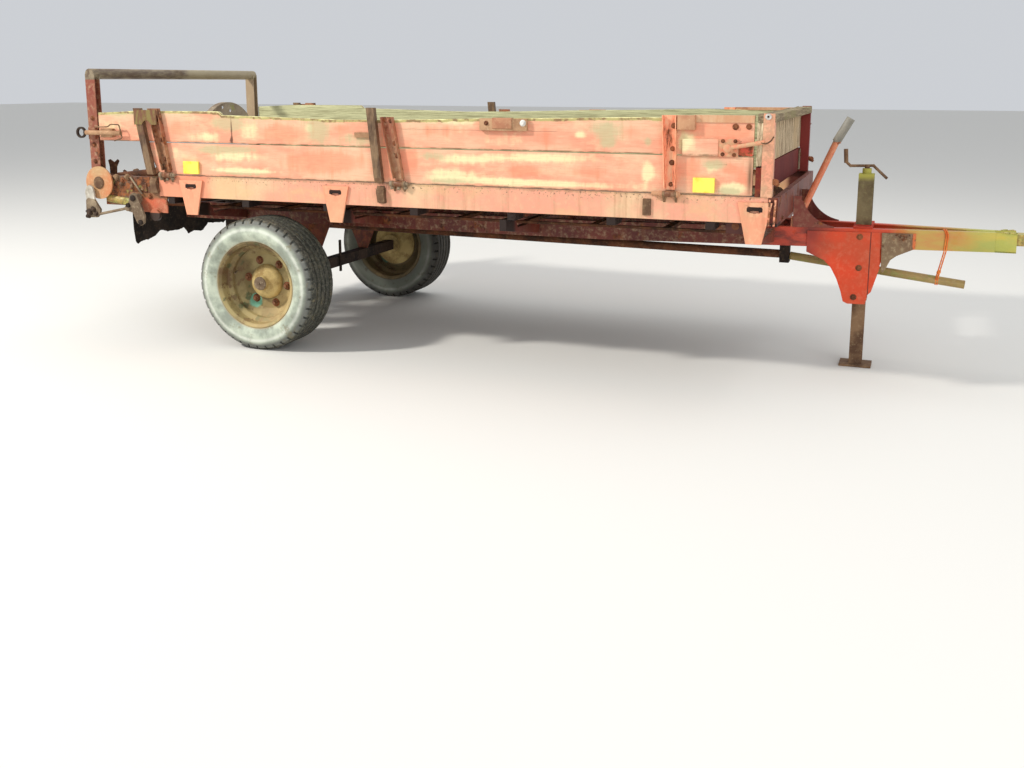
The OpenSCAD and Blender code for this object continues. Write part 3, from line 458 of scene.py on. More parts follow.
def tyre_rubber(name, far_shade):
    """Black tread, a pale dusty sidewall, mud in the grooves; a last dark layer, as strong as asked, is
    painted shade over it all.
    """
    s = Shader(name, 0.75, 0.35)
    radius = s.radius(s.ahead(), s.less(s.axis("Z"), WHEEL_Z))
    fine = s.noise(60, 6, 0.7)
    wide = s.noise(7, 6, 0.6)
    black = s.mix(s.step(fine, 0.4, 0.7), (56, 56, 50), (108, 106, 92))
    pale = s.mix(s.step(wide, 0.38, 0.62), (168, 178, 160), (202, 210, 190))
    crest = s.times(s.band(radius, 0.338, 0.356, 0.008), 0.85)
    pale = s.mix(crest, pale, (226, 230, 216))
    black = s.mix(s.times(s.step(radius, 0.404, 0.392), 0.75), black, (122, 124, 118))
    wall = s.times(s.step(radius, 0.383, 0.352), s.step(radius, 0.262, 0.275))
    patch = s.plus(s.times(s.step(wide, 0.30, 0.58), 0.45), 0.45)
    s.start(s.times(wall, patch), black, pale)
    foot = s.band(radius, 0.262, 0.276, 0.006)
    s.lay(foot, (176, 148, 104), 0.6)
    mud = s.step(s.noise(16, 8, 0.7, shift=5), 0.55, 0.66)
    s.lay(mud, (122, 112, 84), 0.55)
    # Painted shade: a dark layer over the whole tyre, strong on the far wheel's copy
    s.lay(s.step(wide, 0.1, 0.6), (46, 40, 34), far_shade)
    s.laid()
    s.bump(s.plus(s.times(fine, 0.5), s.times(mud, 0.4)), 0.4, 0.0015)


def rim_paint(name, far_shade):
    """Tan and brown old paint with patches of green, painted shade on the dish's upper rear and a painted
    highlight on its lower front; a last dark layer, as strong as asked, is painted shade over it all.
    """
    s = Shader(name, 0.66)
    wide = s.noise(5, 6, 0.6)
    s.start(s.step(wide, 0.4, 0.6), (124, 108, 70), (166, 150, 102))
    s.lay(s.step(s.noise(9, 5, shift=4), 0.56, 0.62), (66, 84, 52), 0.8)
    rust = s.step(s.noise(13, 9, 0.7, shift=8), 0.52, 0.60)
    s.lay(rust, (98, 66, 42), 0.7)
    # Painted shade on the dish's upper rear part, and a painted highlight on its lower front part
    shade_slope = s.plus(s.ahead(), s.less(WHEEL_Z, s.axis("Z")))
    s.lay(s.step(shade_slope, -0.10, -0.30), (84, 60, 38), 0.4)
    s.lay(s.step(shade_slope, 0.05, 0.28), (204, 176, 122), 0.5)
    near_x = s.plus(s.ahead(), 0.090)
    near_z = s.less(s.axis("Z"), WHEEL_Z - 0.128)
    spot = s.plus(s.times(near_x, near_x), s.times(near_z, near_z))
    green = s.step(s.plus(spot, s.times(s.noise(30, 6), 0.0025)), 0.0036, 0.0024)
    s.lay(green, (112, 178, 150), 0.85)
    s.lay(s.edges(), (178, 158, 120), 0.7)
    radius = s.radius(s.ahead(), s.less(s.axis("Z"), WHEEL_Z))
    nuts = s.times(s.step(radius, 0.170, 0.168), s.step(s.outward(), 0.881, 0.884))
    # Painted shade: a dark layer over the whole rim, strong on the far wheel's copy
    s.lay(s.step(wide, 0.1, 0.6), (52, 40, 30), far_shade)
    s.lay(nuts, s.mix(s.noise(60, 6, shift=3), (84, 52, 36), (150, 104, 70)))
    s.laid()
    s.bump(s.plus(s.times(s.noise(50, 6), 0.4), rust), 0.5, 0.0015)


def reflector_plastic():
    """Dirty yellow plastic, with fine cells pressed into it."""
    s = Shader("yellow_reflector", 0.28, 0.5)
    s.start(s.step(s.noise(20, 5), 0.5, 0.75), (248, 232, 96), (238, 206, 60))
    s.laid()
    cells = s.add("TexVoronoi", {"Vector": s.where, "Scale": 260}).outputs["Distance"]
    s.bump(cells, 0.5, 0.001)


def plain_twine():
    """Orange twine with its strands."""
    s = Shader("orange_twine", 0.7)
    strands = s.noise(90, 3, 0.5, (1, 1, 0.3))
    s.start(s.step(strands, 0.4, 0.6), (222, 104, 40), (244, 148, 70))
    s.laid()
    s.bump(strands, 0.6, 0.001)


painted("faded_red_steel", (98, 38, 30), (122, 54, 40), 0.5, 0.3, shift=1, zones=under_shade_zones, chalk=0.12)
painted("arm_rust", (110, 62, 44), (92, 72, 54), 0.9, 0.4, 0.1, shift=23, chalk=0.1)
painted("hoop_red", (128, 58, 46), (146, 88, 66), 0.5, 0.35, shift=21, zones=hoop_zones)
painted("salmon_steel", (234, 162, 134), (230, 190, 150), 0.16, 0.34, shift=2, zones=sill_zones)
painted("bracket_paint", (234, 150, 116), (226, 170, 132), 0.14, 0.3, shift=32, zones=bracket_zones)
painted("post_pink", (230, 154, 124), (222, 180, 142), 0.2, 0.3, shift=12, zones=post_zones)
painted("strap_paint", (158, 92, 66), (168, 124, 92), 0.62, 0.4, shift=6, zones=strap_zones)
painted("orange_red_steel", (222, 66, 22), (200, 74, 36), 0.26, 0.12, shift=3, zones=leg_zones, chalk=0.1)
painted("plate_orange", (204, 96, 64), (178, 104, 76), 0.5, 0.3,
        shift=13, zones=shaft_plate_zones, chalk=0.2)
painted("red_patch", (226, 66, 44), (206, 84, 60), 0.2, 0.2, shift=43, chalk=0.1)
painted("disc_orange", (196, 126, 82), (188, 150, 108), 0.3, 0.1, shift=9, scale=1.6)
painted("beam_red", (92, 34, 27), (120, 52, 38), 0.5, 0.3, shift=5, zones=beam_zones)
painted("mossy_steel", (178, 150, 84), (182, 172, 92), 0.35, 0.2, 0.5, shift=8)
painted("gusset_paint", (116, 88, 62), (136, 112, 82), 0.5, 0.2, shift=27, zones=plate_zones)
rusted("rusty_steel")
rusted("brown_steel", (92, 66, 48), (136, 106, 78), (166, 142, 108), shift=3)
rusted("dark_iron", (34, 26, 22), (64, 48, 38), (110, 92, 70), shift=5)
rusted("grey_steel", (104, 86, 68), (152, 134, 110), (186, 170, 140), shift=7)
rusted("latch_tan", (150, 112, 82), (192, 152, 116), (216, 190, 150), shift=17, zones=latch_zones)
rusted("latch_block", (168, 112, 84), (196, 148, 112), (214, 178, 140), shift=47)
rusted("white_arm", (150, 142, 128), (214, 208, 194), (232, 228, 216), shift=49)
# Near-black rust for painted shade in slots and holes
rusted("hole_shade", (30, 20, 16), (52, 34, 26), (78, 56, 42), shift=37)
rusted("hub_iron", (150, 124, 76), (196, 172, 114), (216, 198, 146), 1.6, shift=9)
rusted("nut_rust", (92, 52, 34), (142, 84, 52), (176, 128, 84), 2.0, shift=19)
rusted("white_metal", (176, 170, 160), (232, 230, 224), (244, 242, 238), 2.0, shift=29)
rusted("guard_sheet", (122, 106, 90), (160, 146, 126), (186, 172, 146), 0.6, 0.2, 4)
rusted("black_sheet", (26, 21, 18), (54, 44, 36), (104, 88, 66), shift=2)
painted("shaft_paint", (150, 128, 72), (176, 150, 92), 0.45, 0.2, 0.35, shift=14)
painted("lever_paint", (214, 120, 86), (196, 140, 104), 0.4, 0.2, shift=16, zones=lever_zones)
rusted("jack_paint", (84, 70, 48), (122, 108, 78), (150, 140, 96), 0.8, 0.3, 18, jack_zones)
side_timber()
grey_timber("floor_boards", (126, 110, 84), (66, 54, 42), (104, 98, 62), (0.5, 9, 9))
grey_timber("head_boards", (250, 230, 190), (112, 78, 52), (200, 172, 130), (4, 4.5, 0.5), 3)
painted("head_red", (96, 14, 10), (112, 30, 18), 0.3, 0.2, roughness=0.9, shift=33, chalk=0.0)
grey_timber("cap_board", (176, 158, 126), (104, 88, 66), (140, 130, 88), (9, 0.5, 9), 6)
# The second tyre and rim materials are darker copies for the far wheel: painted shade
tyre_rubber("tyre_rubber", 0.0)
tyre_rubber("shaded_tyre", 0.75)
rim_paint("tan_rim_paint", 0.0)
rim_paint("shaded_rim", 0.7)
reflector_plastic()
plain_twine()

# Looks of the CAD nodes: material, then the nodes that have it
LOOKS = {
    "beam_red": "chassis_beams",
    "mossy_steel": "tow_tongue tow_eye",
    "dark_iron": "axle_beam brake_lever rear_gearbox drive_hanger",
    "faded_red_steel": "axle_brackets crossmembers front_braces front_crossmember",
    "salmon_steel": "sills",
    "bracket_paint": "sill_brackets",
    "brown_steel": "stake_pockets hinge_ears jack_crank jack_leg",
    "floor_boards": "floor_boards",
    "head_boards": "headboard_boards",
    "grey_steel": "headboard_cleats feed_linkage",
    "post_pink": "corner_posts",
    "arm_rust": "bearing_arms",
    "hoop_red": "hoop",
    "guard_sheet": "rear_guard",
    "black_sheet": "rear_sheet",
    "rusty_steel": "conveyor_shafts conveyor drive_tube beater",
    "plate_orange": "shaft_plates",
    "shaft_paint": "pto_shaft",
    "orange_red_steel": "leg_plates",
    "gusset_paint": "drawbar_gussets",
    "jack_paint": "jack_tube",
    "lever_paint": "hand_lever",
    "disc_orange": "crank_disc",
    "tyre_rubber": "tyre_right",
    # The far wheel's darker tyre: painted shade
    "shaded_tyre": "tyre_left",
    "tan_rim_paint": "rim_right",
    # The far wheel's darker rim: painted shade
    "shaded_rim": "rim_left",
    "hub_iron": "hub_right hub_left",
    "yellow_reflector": "reflectors_right reflectors_left",
    "latch_tan": "latches_right latches_left",
    "strap_paint": "uprights_right uprights_left",
    "salmon_boards": "planks_right planks_left",
}


def soften(obj):
    """Rounds a CAD piece's edges a little, so that they catch the light and show wear."""
    weld = obj.modifiers.new("weld", "WELD")
    weld.merge_threshold = 0.00002
    bevel = obj.modifiers.new("bevel", "BEVEL")
    bevel.width = 0.0015
    bevel.segments = 2
    bevel.limit_method = "ANGLE"
    bevel.angle_limit = math.radians(35)
    bevel.harden_normals = True


for look, names in LOOKS.items():
    for name in names.split():
        obj = nodes[name]
        obj.data.materials.clear()
        obj.data.materials.append(mats[look])
        soften(obj)

# Tools for the detailed pieces


def sideways(direction):
    """Two directions square to the given one."""
    direction = Vector(direction).normalized()
    helper = Vector((0, 0, 1)) if abs(direction.z) < 0.9 else Vector((1, 0, 0))
    first = direction.cross(helper).normalized()
    return first, direction.cross(first)


def circle(centre, first, second, radius, sides, turn=0.0):
    """Points round a centre, in the plane of two directions."""
    angles = [turn + math.tau * k / sides for k in range(sides)]
    return [centre + radius * (first * math.cos(a) + second * math.sin(a)) for a in angles]


class Piece:
    """Collects the faces of one piece, then makes its object."""

    def __init__(self, name, body, slot, *looks):
        self.name = name
        self.body = body
        self.slot = slot
        self.looks = looks
        self.look = 0
        self.bm = bmesh.new()
        marks = ("worn", "raw", "inner", "pale", "green", "hot", "dark")
        self.marks = {mark: self.bm.verts.layers.float.new(mark) for mark in marks}

    def face(self, verts):
        made = self.bm.faces.new(verts)
        made.material_index = self.look
        made.smooth = True

    def skin(self, rings):
        """Joins closed rings of points, each as long as the one before, and closes both ends."""
        made = [[self.bm.verts.new(point) for point in ring] for ring in rings]
        count = len(made[0])
        for low, high in zip(made, made[1:]):
            for i in range(count):
                self.face((low[i], low[(i + 1) % count], high[(i + 1) % count], high[i]))
        self.face(list(reversed(made[0])))
        self.face(made[-1])
        return made

    def tube(self, points, radius, sides):
        """A round bar through points."""
        points = [Vector(point) for point in points]
        first = sideways(points[1] - points[0])[0]
        rings = []
        for i, point in enumerate(points):
            run = (points[min(i + 1, len(points) - 1)] - points[max(i - 1, 0)]).normalized()
            first = (first - run * first.dot(run)).normalized()
            rings.append(circle(point, first, run.cross(first), radius, sides))
        self.skin(rings)

    def turned(self, place, axis, profile, sides, turn=0.0):
        """A round form about an axis, from a profile of distance along it and radius."""
        axis = Vector(axis).normalized()
        first, second = sideways(axis)
        place = Vector(place)
        self.skin([circle(place + axis * along, first, second, radius, sides, turn)
                   for along, radius in profile])

    def bolt(self, place, out, size, turn=0.3):
        """A washer with a hexagon head, worn round at its corners; size is half the head's width."""
        self.turned(place, out, [(-0.002, size * 1.5), (0.002, size * 1.5), (0.003, size * 1.3)], 16)
        head = [(0.0, size), (size * 0.8, size), (size, size * 0.8)]
        self.turned(place, out, head, 6, turn)

    def plate(self, outline, origin, right, up, thick):
        """A flat plate whose outline is given to the right and up from its origin."""
        origin, right, up = Vector(origin), Vector(right), Vector(up)
        out = right.cross(up).normalized() * thick
        self.skin([[origin + right * a + up * b + lift for a, b in outline] for lift in (Vector(), out)])

    def lump(self, place, radius, seed, flat=1.0):
        """A lump of rust or dried dirt."""
        made = bmesh.ops.create_icosphere(self.bm, subdivisions=3, radius=radius)
        for vert in made["verts"]:
            rough = noise.noise(vert.co * (1.4 / radius) + Vector((seed, 0, 0)))
            co = vert.co * (1 + 0.4 * rough)
            co.z *= flat
            vert.co = co + Vector(place)
        for vert in made["verts"]:
            for face in vert.link_faces:
                face.material_index = self.look
                face.smooth = True

    def done(self, *replaced):
        bmesh.ops.recalc_face_normals(self.bm, faces=self.bm.faces)
        mesh = bpy.data.meshes.new(self.name)
        self.bm.to_mesh(mesh)
        self.bm.free()
        for look in self.looks:
            mesh.materials.append(mats[look])
        mesh.set_sharp_from_angle(angle=math.radians(38))
        obj = placed(self.name, mesh)
        if replaced:
            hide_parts(*replaced)
        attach(obj, self.body)


def rounded(points, reach, steps=5):
    """A route through points with its corners rounded off."""
    points = [Vector(point) for point in points]
    route = [points[0]]
    for before, corner, after in zip(points, points[1:], points[2:]):
        start = corner + (before - corner).normalized() * reach
        end = corner + (after - corner).normalized() * reach
        for i in range(steps + 1):
            t = i / steps
            route.append(start * (1 - t) ** 2 + corner * 2 * t * (1 - t) + end * t ** 2)
    return route + [points[-1]]


def between(table, x):
    """The height at a place in a table of places and heights."""
    for (low_x, low), (high_x, high) in zip(table, table[1:]):
        if x <= high_x:
            share = max(0.0, (x - low_x) / (high_x - low_x))
            return low + (high - low) * share
    return table[-1][1]


# Boards, as lattices whose corners are worn round and whose ends are rough


def section(thick, height, bend):
    """Places round a board's section, from the foot of its face up, over and down the back."""
    inner = thick - 2 * bend
    tall = height - 2 * bend
    corner = bend * 0.3
    places = [(0.0, bend + tall * i / 11) for i in range(12)]
    places += [(corner, height - corner)]
    places += [(bend + inner * i / 2, height) for i in range(3)]
    places += [(thick - corner, height - corner)]
    places += [(thick, height - bend - tall * i / 8) for i in range(9)]
    places += [(thick - corner, corner)]
    places += [(thick - bend - inner * i / 2, 0.0) for i in range(3)]
    return places + [(corner, corner)]


def board(piece, place, length, height, thick, seed, top=None, back=None, mark=None, pitch=0.014):
    """A board; place() puts a spot along it, into it and up it where it belongs."""
    bend = 0.004
    count = max(2, round(length / pitch))
    rings = []
    spots = []
    for i in range(count + 1):
        share = i / count
        tall = top(share * length) if top else height
        ring = []
        for depth, rise in section(thick, tall, bend):
            begin = back(rise) if back else 0.002 * noise.noise(Vector((seed, rise * 60, depth * 60)))
            along = begin + (length - begin) * share
            rough = noise.noise(Vector((along * 7, rise * 22, depth * 22 + seed)))
            fine = noise.noise(Vector((along * 45, rise * 70, depth * 60 + seed)))
            sink = 0.0007 * (1 + rough) + 0.0004 * (1 + fine)
            into = depth + (sink if depth < thick / 2 else -sink)
            up = rise
            if rise > tall - 0.001:
                up -= 0.0022 * (1 + rough) + 0.0015 * (1 + fine)
            ring.append(place(along, into, up))
            spots.append((along, depth, rise, tall))
        rings.append(ring)
    made = piece.skin(rings)
    flat = [vert for ring in made for vert in ring]
    for vert, (along, depth, rise, tall) in zip(flat, spots):
        if mark:
            for name, value in mark(along, depth, rise, tall).items():
                vert[piece.marks[name]] = value


# Top edge of the side, ahead of the axle and above the ground
TOP_EDGE = [(-1.215, 1.446), (-1.053, 1.453), (-0.926, 1.460), (-0.570, 1.462), (-0.285, 1.462),
            (-0.265, 1.440), (0.018, 1.435), (0.298, 1.429), (0.571, 1.423), (0.965, 1.428), (1.342, 1.438),
            (1.703, 1.446), (1.935, 1.449), (2.161, 1.455), (2.381, 1.460), (2.640, 1.456), (2.980, 1.454)]
# Broken rear end of the right side's lower board: height and place ahead of the axle
BROKEN_END = [(1.061, -0.735), (1.087, -0.775), (1.118, -0.783), (1.150, -0.801), (1.180, -0.806),
              (1.213, -0.820), (1.238, -0.834), (1.263, -0.836)]
# Stains on the boards, by kind: middle ahead of the axle, height, half length, half height, strength
STAINS = {
    "green": [(-1.07, 1.44, 0.15, 0.02, 0.8), (-0.2, 1.39, 0.14, 0.06, 0.9), (0.42, 1.36, 0.09, 0.08, 0.9),
        (0.7, 1.31, 0.16, 0.05, 0.6), (2.2, 1.39, 0.09, 0.05, 0.8), (2.21, 1.32, 0.05, 0.03, 0.8),
        (2.43, 1.33, 0.03, 0.03, 0.9), (-0.36, 1.225, 0.12, 0.025, 0.9), (-0.13, 1.23, 0.16, 0.022, 0.9),
        (-0.12, 1.08, 0.26, 0.012, 0.8), (1.17, 1.225, 0.1, 0.03, 0.8), (1.3, 1.085, 0.2, 0.015, 0.7),
        (2.78, 1.22, 0.07, 0.03, 0.9), (2.86, 1.085, 0.07, 0.02, 0.9)],
    "pale": [(-1.1, 1.36, 0.12, 0.05, 0.5), (-0.4, 1.3, 0.14, 0.04, 0.6), (-0.08, 1.36, 0.08, 0.07, 0.6),
        (0.36, 1.37, 0.03, 0.03, 0.8), (1.3, 1.42, 0.4, 0.02, 0.5), (1.62, 1.33, 0.2, 0.05, 0.4),
        (2.05, 1.36, 0.04, 0.02, 0.8), (2.63, 1.33, 0.05, 0.05, 0.9), (-0.62, 1.2, 0.06, 0.05, 0.4),
        (-0.15, 1.19, 0.25, 0.04, 0.7), (-0.12, 1.1, 0.26, 0.018, 1.0), (1.35, 1.21, 0.2, 0.03, 0.8),
        (1.3, 1.13, 0.2, 0.03, 0.7), (1.75, 1.09, 0.6, 0.018, 1.0), (1.85, 1.23, 0.3, 0.025, 0.9),
        (2.43, 1.17, 0.035, 0.06, 1.0), (2.77, 1.2, 0.05, 0.03, 0.7), (2.88, 1.1, 0.07, 0.03, 1.0)],
    "hot": [(-0.6, 1.36, 0.1, 0.07, 0.7), (0.17, 1.34, 0.16, 0.06, 0.9), (0.58, 1.37, 0.08, 0.03, 0.6),
        (0.9, 1.36, 0.06, 0.1, 1.0), (1.2, 1.37, 0.2, 0.04, 0.6), (1.85, 1.33, 0.1, 0.06, 0.6),
        (2.35, 1.38, 0.12, 0.04, 0.5), (2.72, 1.39, 0.09, 0.05, 0.9), (2.88, 1.39, 0.09, 0.04, 1.0),
        (0.46, 1.17, 0.3, 0.07, 1.0), (0.9, 1.16, 0.07, 0.1, 1.0), (1.03, 1.2, 0.05, 0.08, 0.8),
        (1.28, 1.18, 0.05, 0.03, 0.6), (1.73, 1.155, 0.1, 0.035, 0.9), (2.1, 1.16, 0.12, 0.04, 0.7),
        (2.55, 1.16, 0.05, 0.09, 0.8), (2.66, 1.2, 0.06, 0.06, 0.9), (2.86, 1.2, 0.04, 0.03, 0.9),
        (2.93, 1.15, 0.04, 0.06, 0.8)],
    "dark": [(-0.197, 1.355, 0.005, 0.08, 0.9), (-0.2, 1.285, 0.014, 0.02, 0.8),
        (0.72, 1.33, 0.12, 0.02, 0.45)],
    "raw": [(2.968, 1.16, 0.012, 0.1, 1.0)],
}
# The two boards of a side: their thickness, ends, feet and tops
PLANK_T = 0.028
SIDE_BACK = -1.215
SIDE_FRONT = 2.980
SIDE_TOP = 1.454
UPPER_FOOT = 1.267
LOWER_TOP = 1.263
LOWER_FOOT = 1.061
BREAK_BACK = -0.836


def stain(kind, x, z):
    """How strongly a kind of stain covers a place on the boards' face."""
    total = 0.0
    for mid_x, mid_z, half_x, half_z, strength in STAINS[kind]:
        reach = ((x - mid_x) / half_x) ** 2 + ((z - mid_z) / half_z) ** 2
        if reach < 5:
            total += strength * math.exp(-0.9 * reach)
    return min(total, 1.0)


def side_boards(where, side):
    """The boards of one drop side; the right one's lower board is broken at the rear."""
    piece = Piece("side_boards_" + where, "side_" + where, "red_timber", "salmon_boards")
    drift = 0.0 if side < 0 else 0.35

    def one(back_x, front_x, low, high, seed, top=None, back=None, proud=0.0, thick=PLANK_T):
        def place(along, into, up):
            return Vector((at(back_x + along), side * (BOARD_FACE + proud - into), low + up))

        def mark(along, depth, rise, tall):
            x = back_x + along
            z = low + rise
            if depth > thick * 0.6:
                return {"inner": 1.0}
            out = {kind: stain(kind, x + drift, z) for kind in STAINS}
            if back and along < back(rise) + 0.012:
                out["raw"] = 1.0
            if top:
                # How near the top edge: moss grows there, and the very edge gets a painted highlight
                out["worn"] = max(0.0, 1.0 - (tall - rise) / 0.030)
                if depth > 0.002:
                    out["worn"] = 0.75
            return out

        board(piece, place, front_x - back_x, high - low, thick, seed, top, back, mark)

    def upper_edge(along):
        return between(TOP_EDGE, SIDE_BACK + along) - UPPER_FOOT

    def broken_back(rise):
        return between(BROKEN_END, LOWER_FOOT + rise) - BREAK_BACK

    one(SIDE_BACK, SIDE_FRONT, UPPER_FOOT, SIDE_TOP, 3.1 + side, upper_edge)
    if side < 0:
        one(BREAK_BACK, SIDE_FRONT, LOWER_FOOT, LOWER_TOP, 7.7, None, broken_back)
    else:
        one(SIDE_BACK, SIDE_FRONT, LOWER_FOOT, LOWER_TOP, 9.4)
    # The small board nailed on between the front strap and the latch
    one(2.612, 2.800, 1.262, 1.352, 12.3, proud=0.013, thick=0.013)
    piece.done("planks_" + where)


for where, side in SIDES:
    side_boards(where, side)


def headboard():
    """Upper board streaked pale and dark, lower board dark red, and the cap with its worn edges."""
    piece = Piece("headboard", "chassis", "grey_timber", "head_boards", "head_red", "cap_board")

    def across(front, half, low):
        return lambda along, into, up: Vector((at(front - into), along - half, low + up))

    def cap_edge(along):
        return 0.046 - 0.004 * math.sin(along * 5) ** 2

    board(piece, across(3.024, 0.9145, 1.217), 1.829, 0.221, 0.030, 21.0, pitch=0.02)
    piece.look = 1
    board(piece, across(3.024, 0.9145, 1.058), 1.829, 0.155, 0.030, 23.0, pitch=0.02)
    piece.look = 2
    board(piece, across(3.087, 0.9095, 1.438), 1.819, 0.046, 0.092, 25.0, cap_edge, pitch=0.02)
    piece.done("headboard_boards")


headboard()


# Fasteners and wires


def side_fasteners(where, side):
    """Bolts of the straps, socket, band and bolt plate, and the wire hooks, on one drop side."""
    piece = Piece("side_fasteners_" + where, "side_" + where, "rusty_steel", "nut_rust", "white_metal",
                  "brown_steel", "latch_tan")
    out = (0, side, 0)
    face = side * STRAP_FACE
    # Ahead of the axle, height, how far out, half width
    bolts = [(2.566, 1.416, 0.0, 0.010), (2.562, 1.297, 0.0, 0.009), (2.560, 1.224, 0.0, 0.010),
             (2.557, 1.109, 0.0, 0.009), (0.908, 1.421, 0.0, 0.010), (0.932, 1.292, 0.0, 0.010),
             (0.944, 1.218, 0.0, 0.009), (-0.745, 1.395, 0.0, 0.010), (-0.722, 1.280, 0.0, 0.009),
             (-0.700, 1.160, 0.0, 0.010), (1.511, 1.416, 0.017, 0.009), (2.824, 1.342, 0.003, 0.007),
             (2.888, 1.342, 0.003, 0.007), (2.824, 1.274, 0.003, 0.007), (2.884, 1.272, 0.003, 0.007),
             (2.953, 1.416, -0.005, 0.010), (2.885, 1.415, -0.005, 0.011), (2.625, 1.420, 0.017, 0.007)]
    for i, (x, z, proud, size) in enumerate(bolts):
        piece.bolt((at(x), face + side * proud, z), out, size, i * 0.7)
    piece.look = 1
    piece.bolt((at(1.728), face + side * 0.017, 1.419), out, 0.012)
    piece.look = 2
    loop = [(-1.210, 1.354), (-1.111, 1.357), (-1.092, 1.373), (-1.023, 1.372), (-1.003, 1.286),
            (-1.067, 1.269)]
    piece.tube(rounded([(at(x), side * 0.951, z) for x, z in loop], 0.012), 0.004, 8)
    hook = [(3.020, 1.338), (3.046, 1.333), (3.069, 1.347), (3.082, 1.370)]
    piece.tube(rounded([(at(x), side * 0.943, z) for x, z in hook], 0.010), 0.004, 8)
    piece.look = 3
    piece.turned((at(2.851), side * 0.934, 1.306), out, [(0, 0.022), (0.011, 0.022), (0.015, 0.016)], 14)
    piece.done()


for where, side in SIDES:
    side_fasteners(where, side)


# The slot in the sill brackets, where a dark plate on the sill is painted shade: ahead of the bracket's
# middle, and height
SLOT = [(-0.040, 0.982), (-0.026, 0.980), (-0.018, 0.987), (0.018, 0.987), (0.026, 0.980), (0.040, 0.982),
        (0.041, 0.998), (0.036, 1.007), (-0.036, 1.007), (-0.041, 0.998)]
SLOT_FACE = 0.9272
# Bolts of the rear posts by their height, and of the bearing arms and the leg plates by place and height
POST_BOLTS = (1.409, 1.237, 1.130, 1.075)
ARM_BOLTS = [(-1.180, 1.012), (-1.120, 0.965), (-1.060, 1.010), (-0.845, 0.915), (-0.945, 0.905)]
LEG_BOLTS = [(3.488, 0.775), (3.492, 0.596), (3.472, 0.425)]


def frame_fasteners():
    """Bolts of the frame, painted shade in the brackets' slots, and small irons at the front corner."""
    piece = Piece("frame_fasteners", "chassis", "rusty_steel", "nut_rust", "white_metal", "bracket_paint",
                  "hole_shade")
    for _, side in SIDES:
        out = (0, side, 0)
        for z in POST_BOLTS:
            piece.bolt((at(-1.268), side * POST_FACE, z), out, 0.011, z * 9)
        for x, z in ARM_BOLTS:
            piece.bolt((at(x), side * POST_FACE, z), out, 0.013, x * 5)
        # Dark plates in the brackets' slots: painted shade
        piece.look = 3
        for x in (-0.512, 0.530, 3.000):
            piece.plate(SLOT, (at(x), side * SLOT_FACE, 0), (1, 0, 0), (0, 0, 1), side * -0.0005)
        piece.look = 0
        for x, z in LEG_BOLTS:
            place = (at(x), side * (beam_face(x) + LEG_PLATE_T), z)
            piece.bolt(place, (BEAM_LEAN, side, 0), 0.012, x * 3)
        piece.bolt((at(3.115), side * 0.72, 0.935), (1, 0, 0), 0.009)
        piece.bolt((at(3.032), side * 0.831, 1.169), (1, 0, 0), 0.008)
        # A round iron with a short bar across it, beside the headboard
        piece.turned((at(3.097), side * 0.897, 1.136), out, [(0, 0.017), (0.014, 0.017), (0.018, 0.013)], 16)
        piece.tube([(at(3.082), side * 0.900, 1.150), (at(3.112), side * 0.900, 1.118)], 0.009, 10)
        # A bright washer on the corner post, with a dark disc painted in as the shade of its hole
        piece.look = 1
        washer = [(0, 0.016), (0.004, 0.016), (0.006, 0.011)]
        piece.turned((at(3.048), side * 0.9145, 1.468), out, washer, 18)
        piece.look = 3
        piece.turned((at(3.048), side * 0.9205, 1.468), out, [(0, 0.006), (0.0015, 0.004)], 10)
        # Two narrow painted strips below the corner
        piece.look = 2
        strip = [(0, 0), (0.010, 0), (0.014, 0.134), (0.004, 0.136)]
        for x in (3.066, 3.094):
            piece.plate(strip, (at(x), side * 0.916, 0.912), (1, 0, 0), (0, 0, 1), side * -0.013)
        piece.look = 0
    piece.done()


frame_fasteners()

# A stake's sections, as height and depth: its foot in front of the sill, and its end on the drop side
STAKE_FOOT = [(0.945, 0.026), (0.990, 0.030), (1.012, 0.030), (1.022, 0.021), (1.034, 0.012), (1.041, 0.004)]
STAKE_END = [(1.0605, 0.030), (1.064, 0.032), (1.076, 0.032), (1.0895, 0.032)]
STAKE_HALF = 0.025
STAKE_RISE = 0.39


def stake_lengths(piece, side, sections, chamfer, rough):
    """One length of each stake on a side, with bevelled outer edges; the chamfer is the rear one's."""
    for foot, lean, _ in STAKES:
        rings = []
        for z, depth in sections:
            mid = at(foot + lean / STAKE_RISE * (z - STRAP_LOW))
            half = STAKE_HALF + rough * noise.noise(Vector((z * 90, foot, side)))
            corners = [(-half, 0.001), (half, 0.001), (half, depth - 0.003), (half - 0.003, depth),
                       (chamfer - half, depth), (-half, depth - 0.003)]
            rings.append([Vector((mid + a, side * (BOARD_FACE + b), z)) for a, b in corners])
        piece.skin(rings)


def stake_feet():
    """The stakes' rusty feet in front of the sill, down from where the drop side turns."""
    piece = Piece("stake_feet", "chassis", "rusty_steel", "brown_steel")
    for _, side in SIDES:
        stake_lengths(piece, side, STAKE_FOOT, 0.004, 0.001)
    piece.done()


def stake_ends(where, side):
    """The stakes' lower ends, from the straps' foot down to where the drop side turns."""
    piece = Piece("stake_ends_" + where, "side_" + where, "rusty_steel", "brown_steel")
    stake_lengths(piece, side, STAKE_END, 0.003, 0.0)
    piece.done()


stake_feet()
for where, side in SIDES:
    stake_ends(where, side)


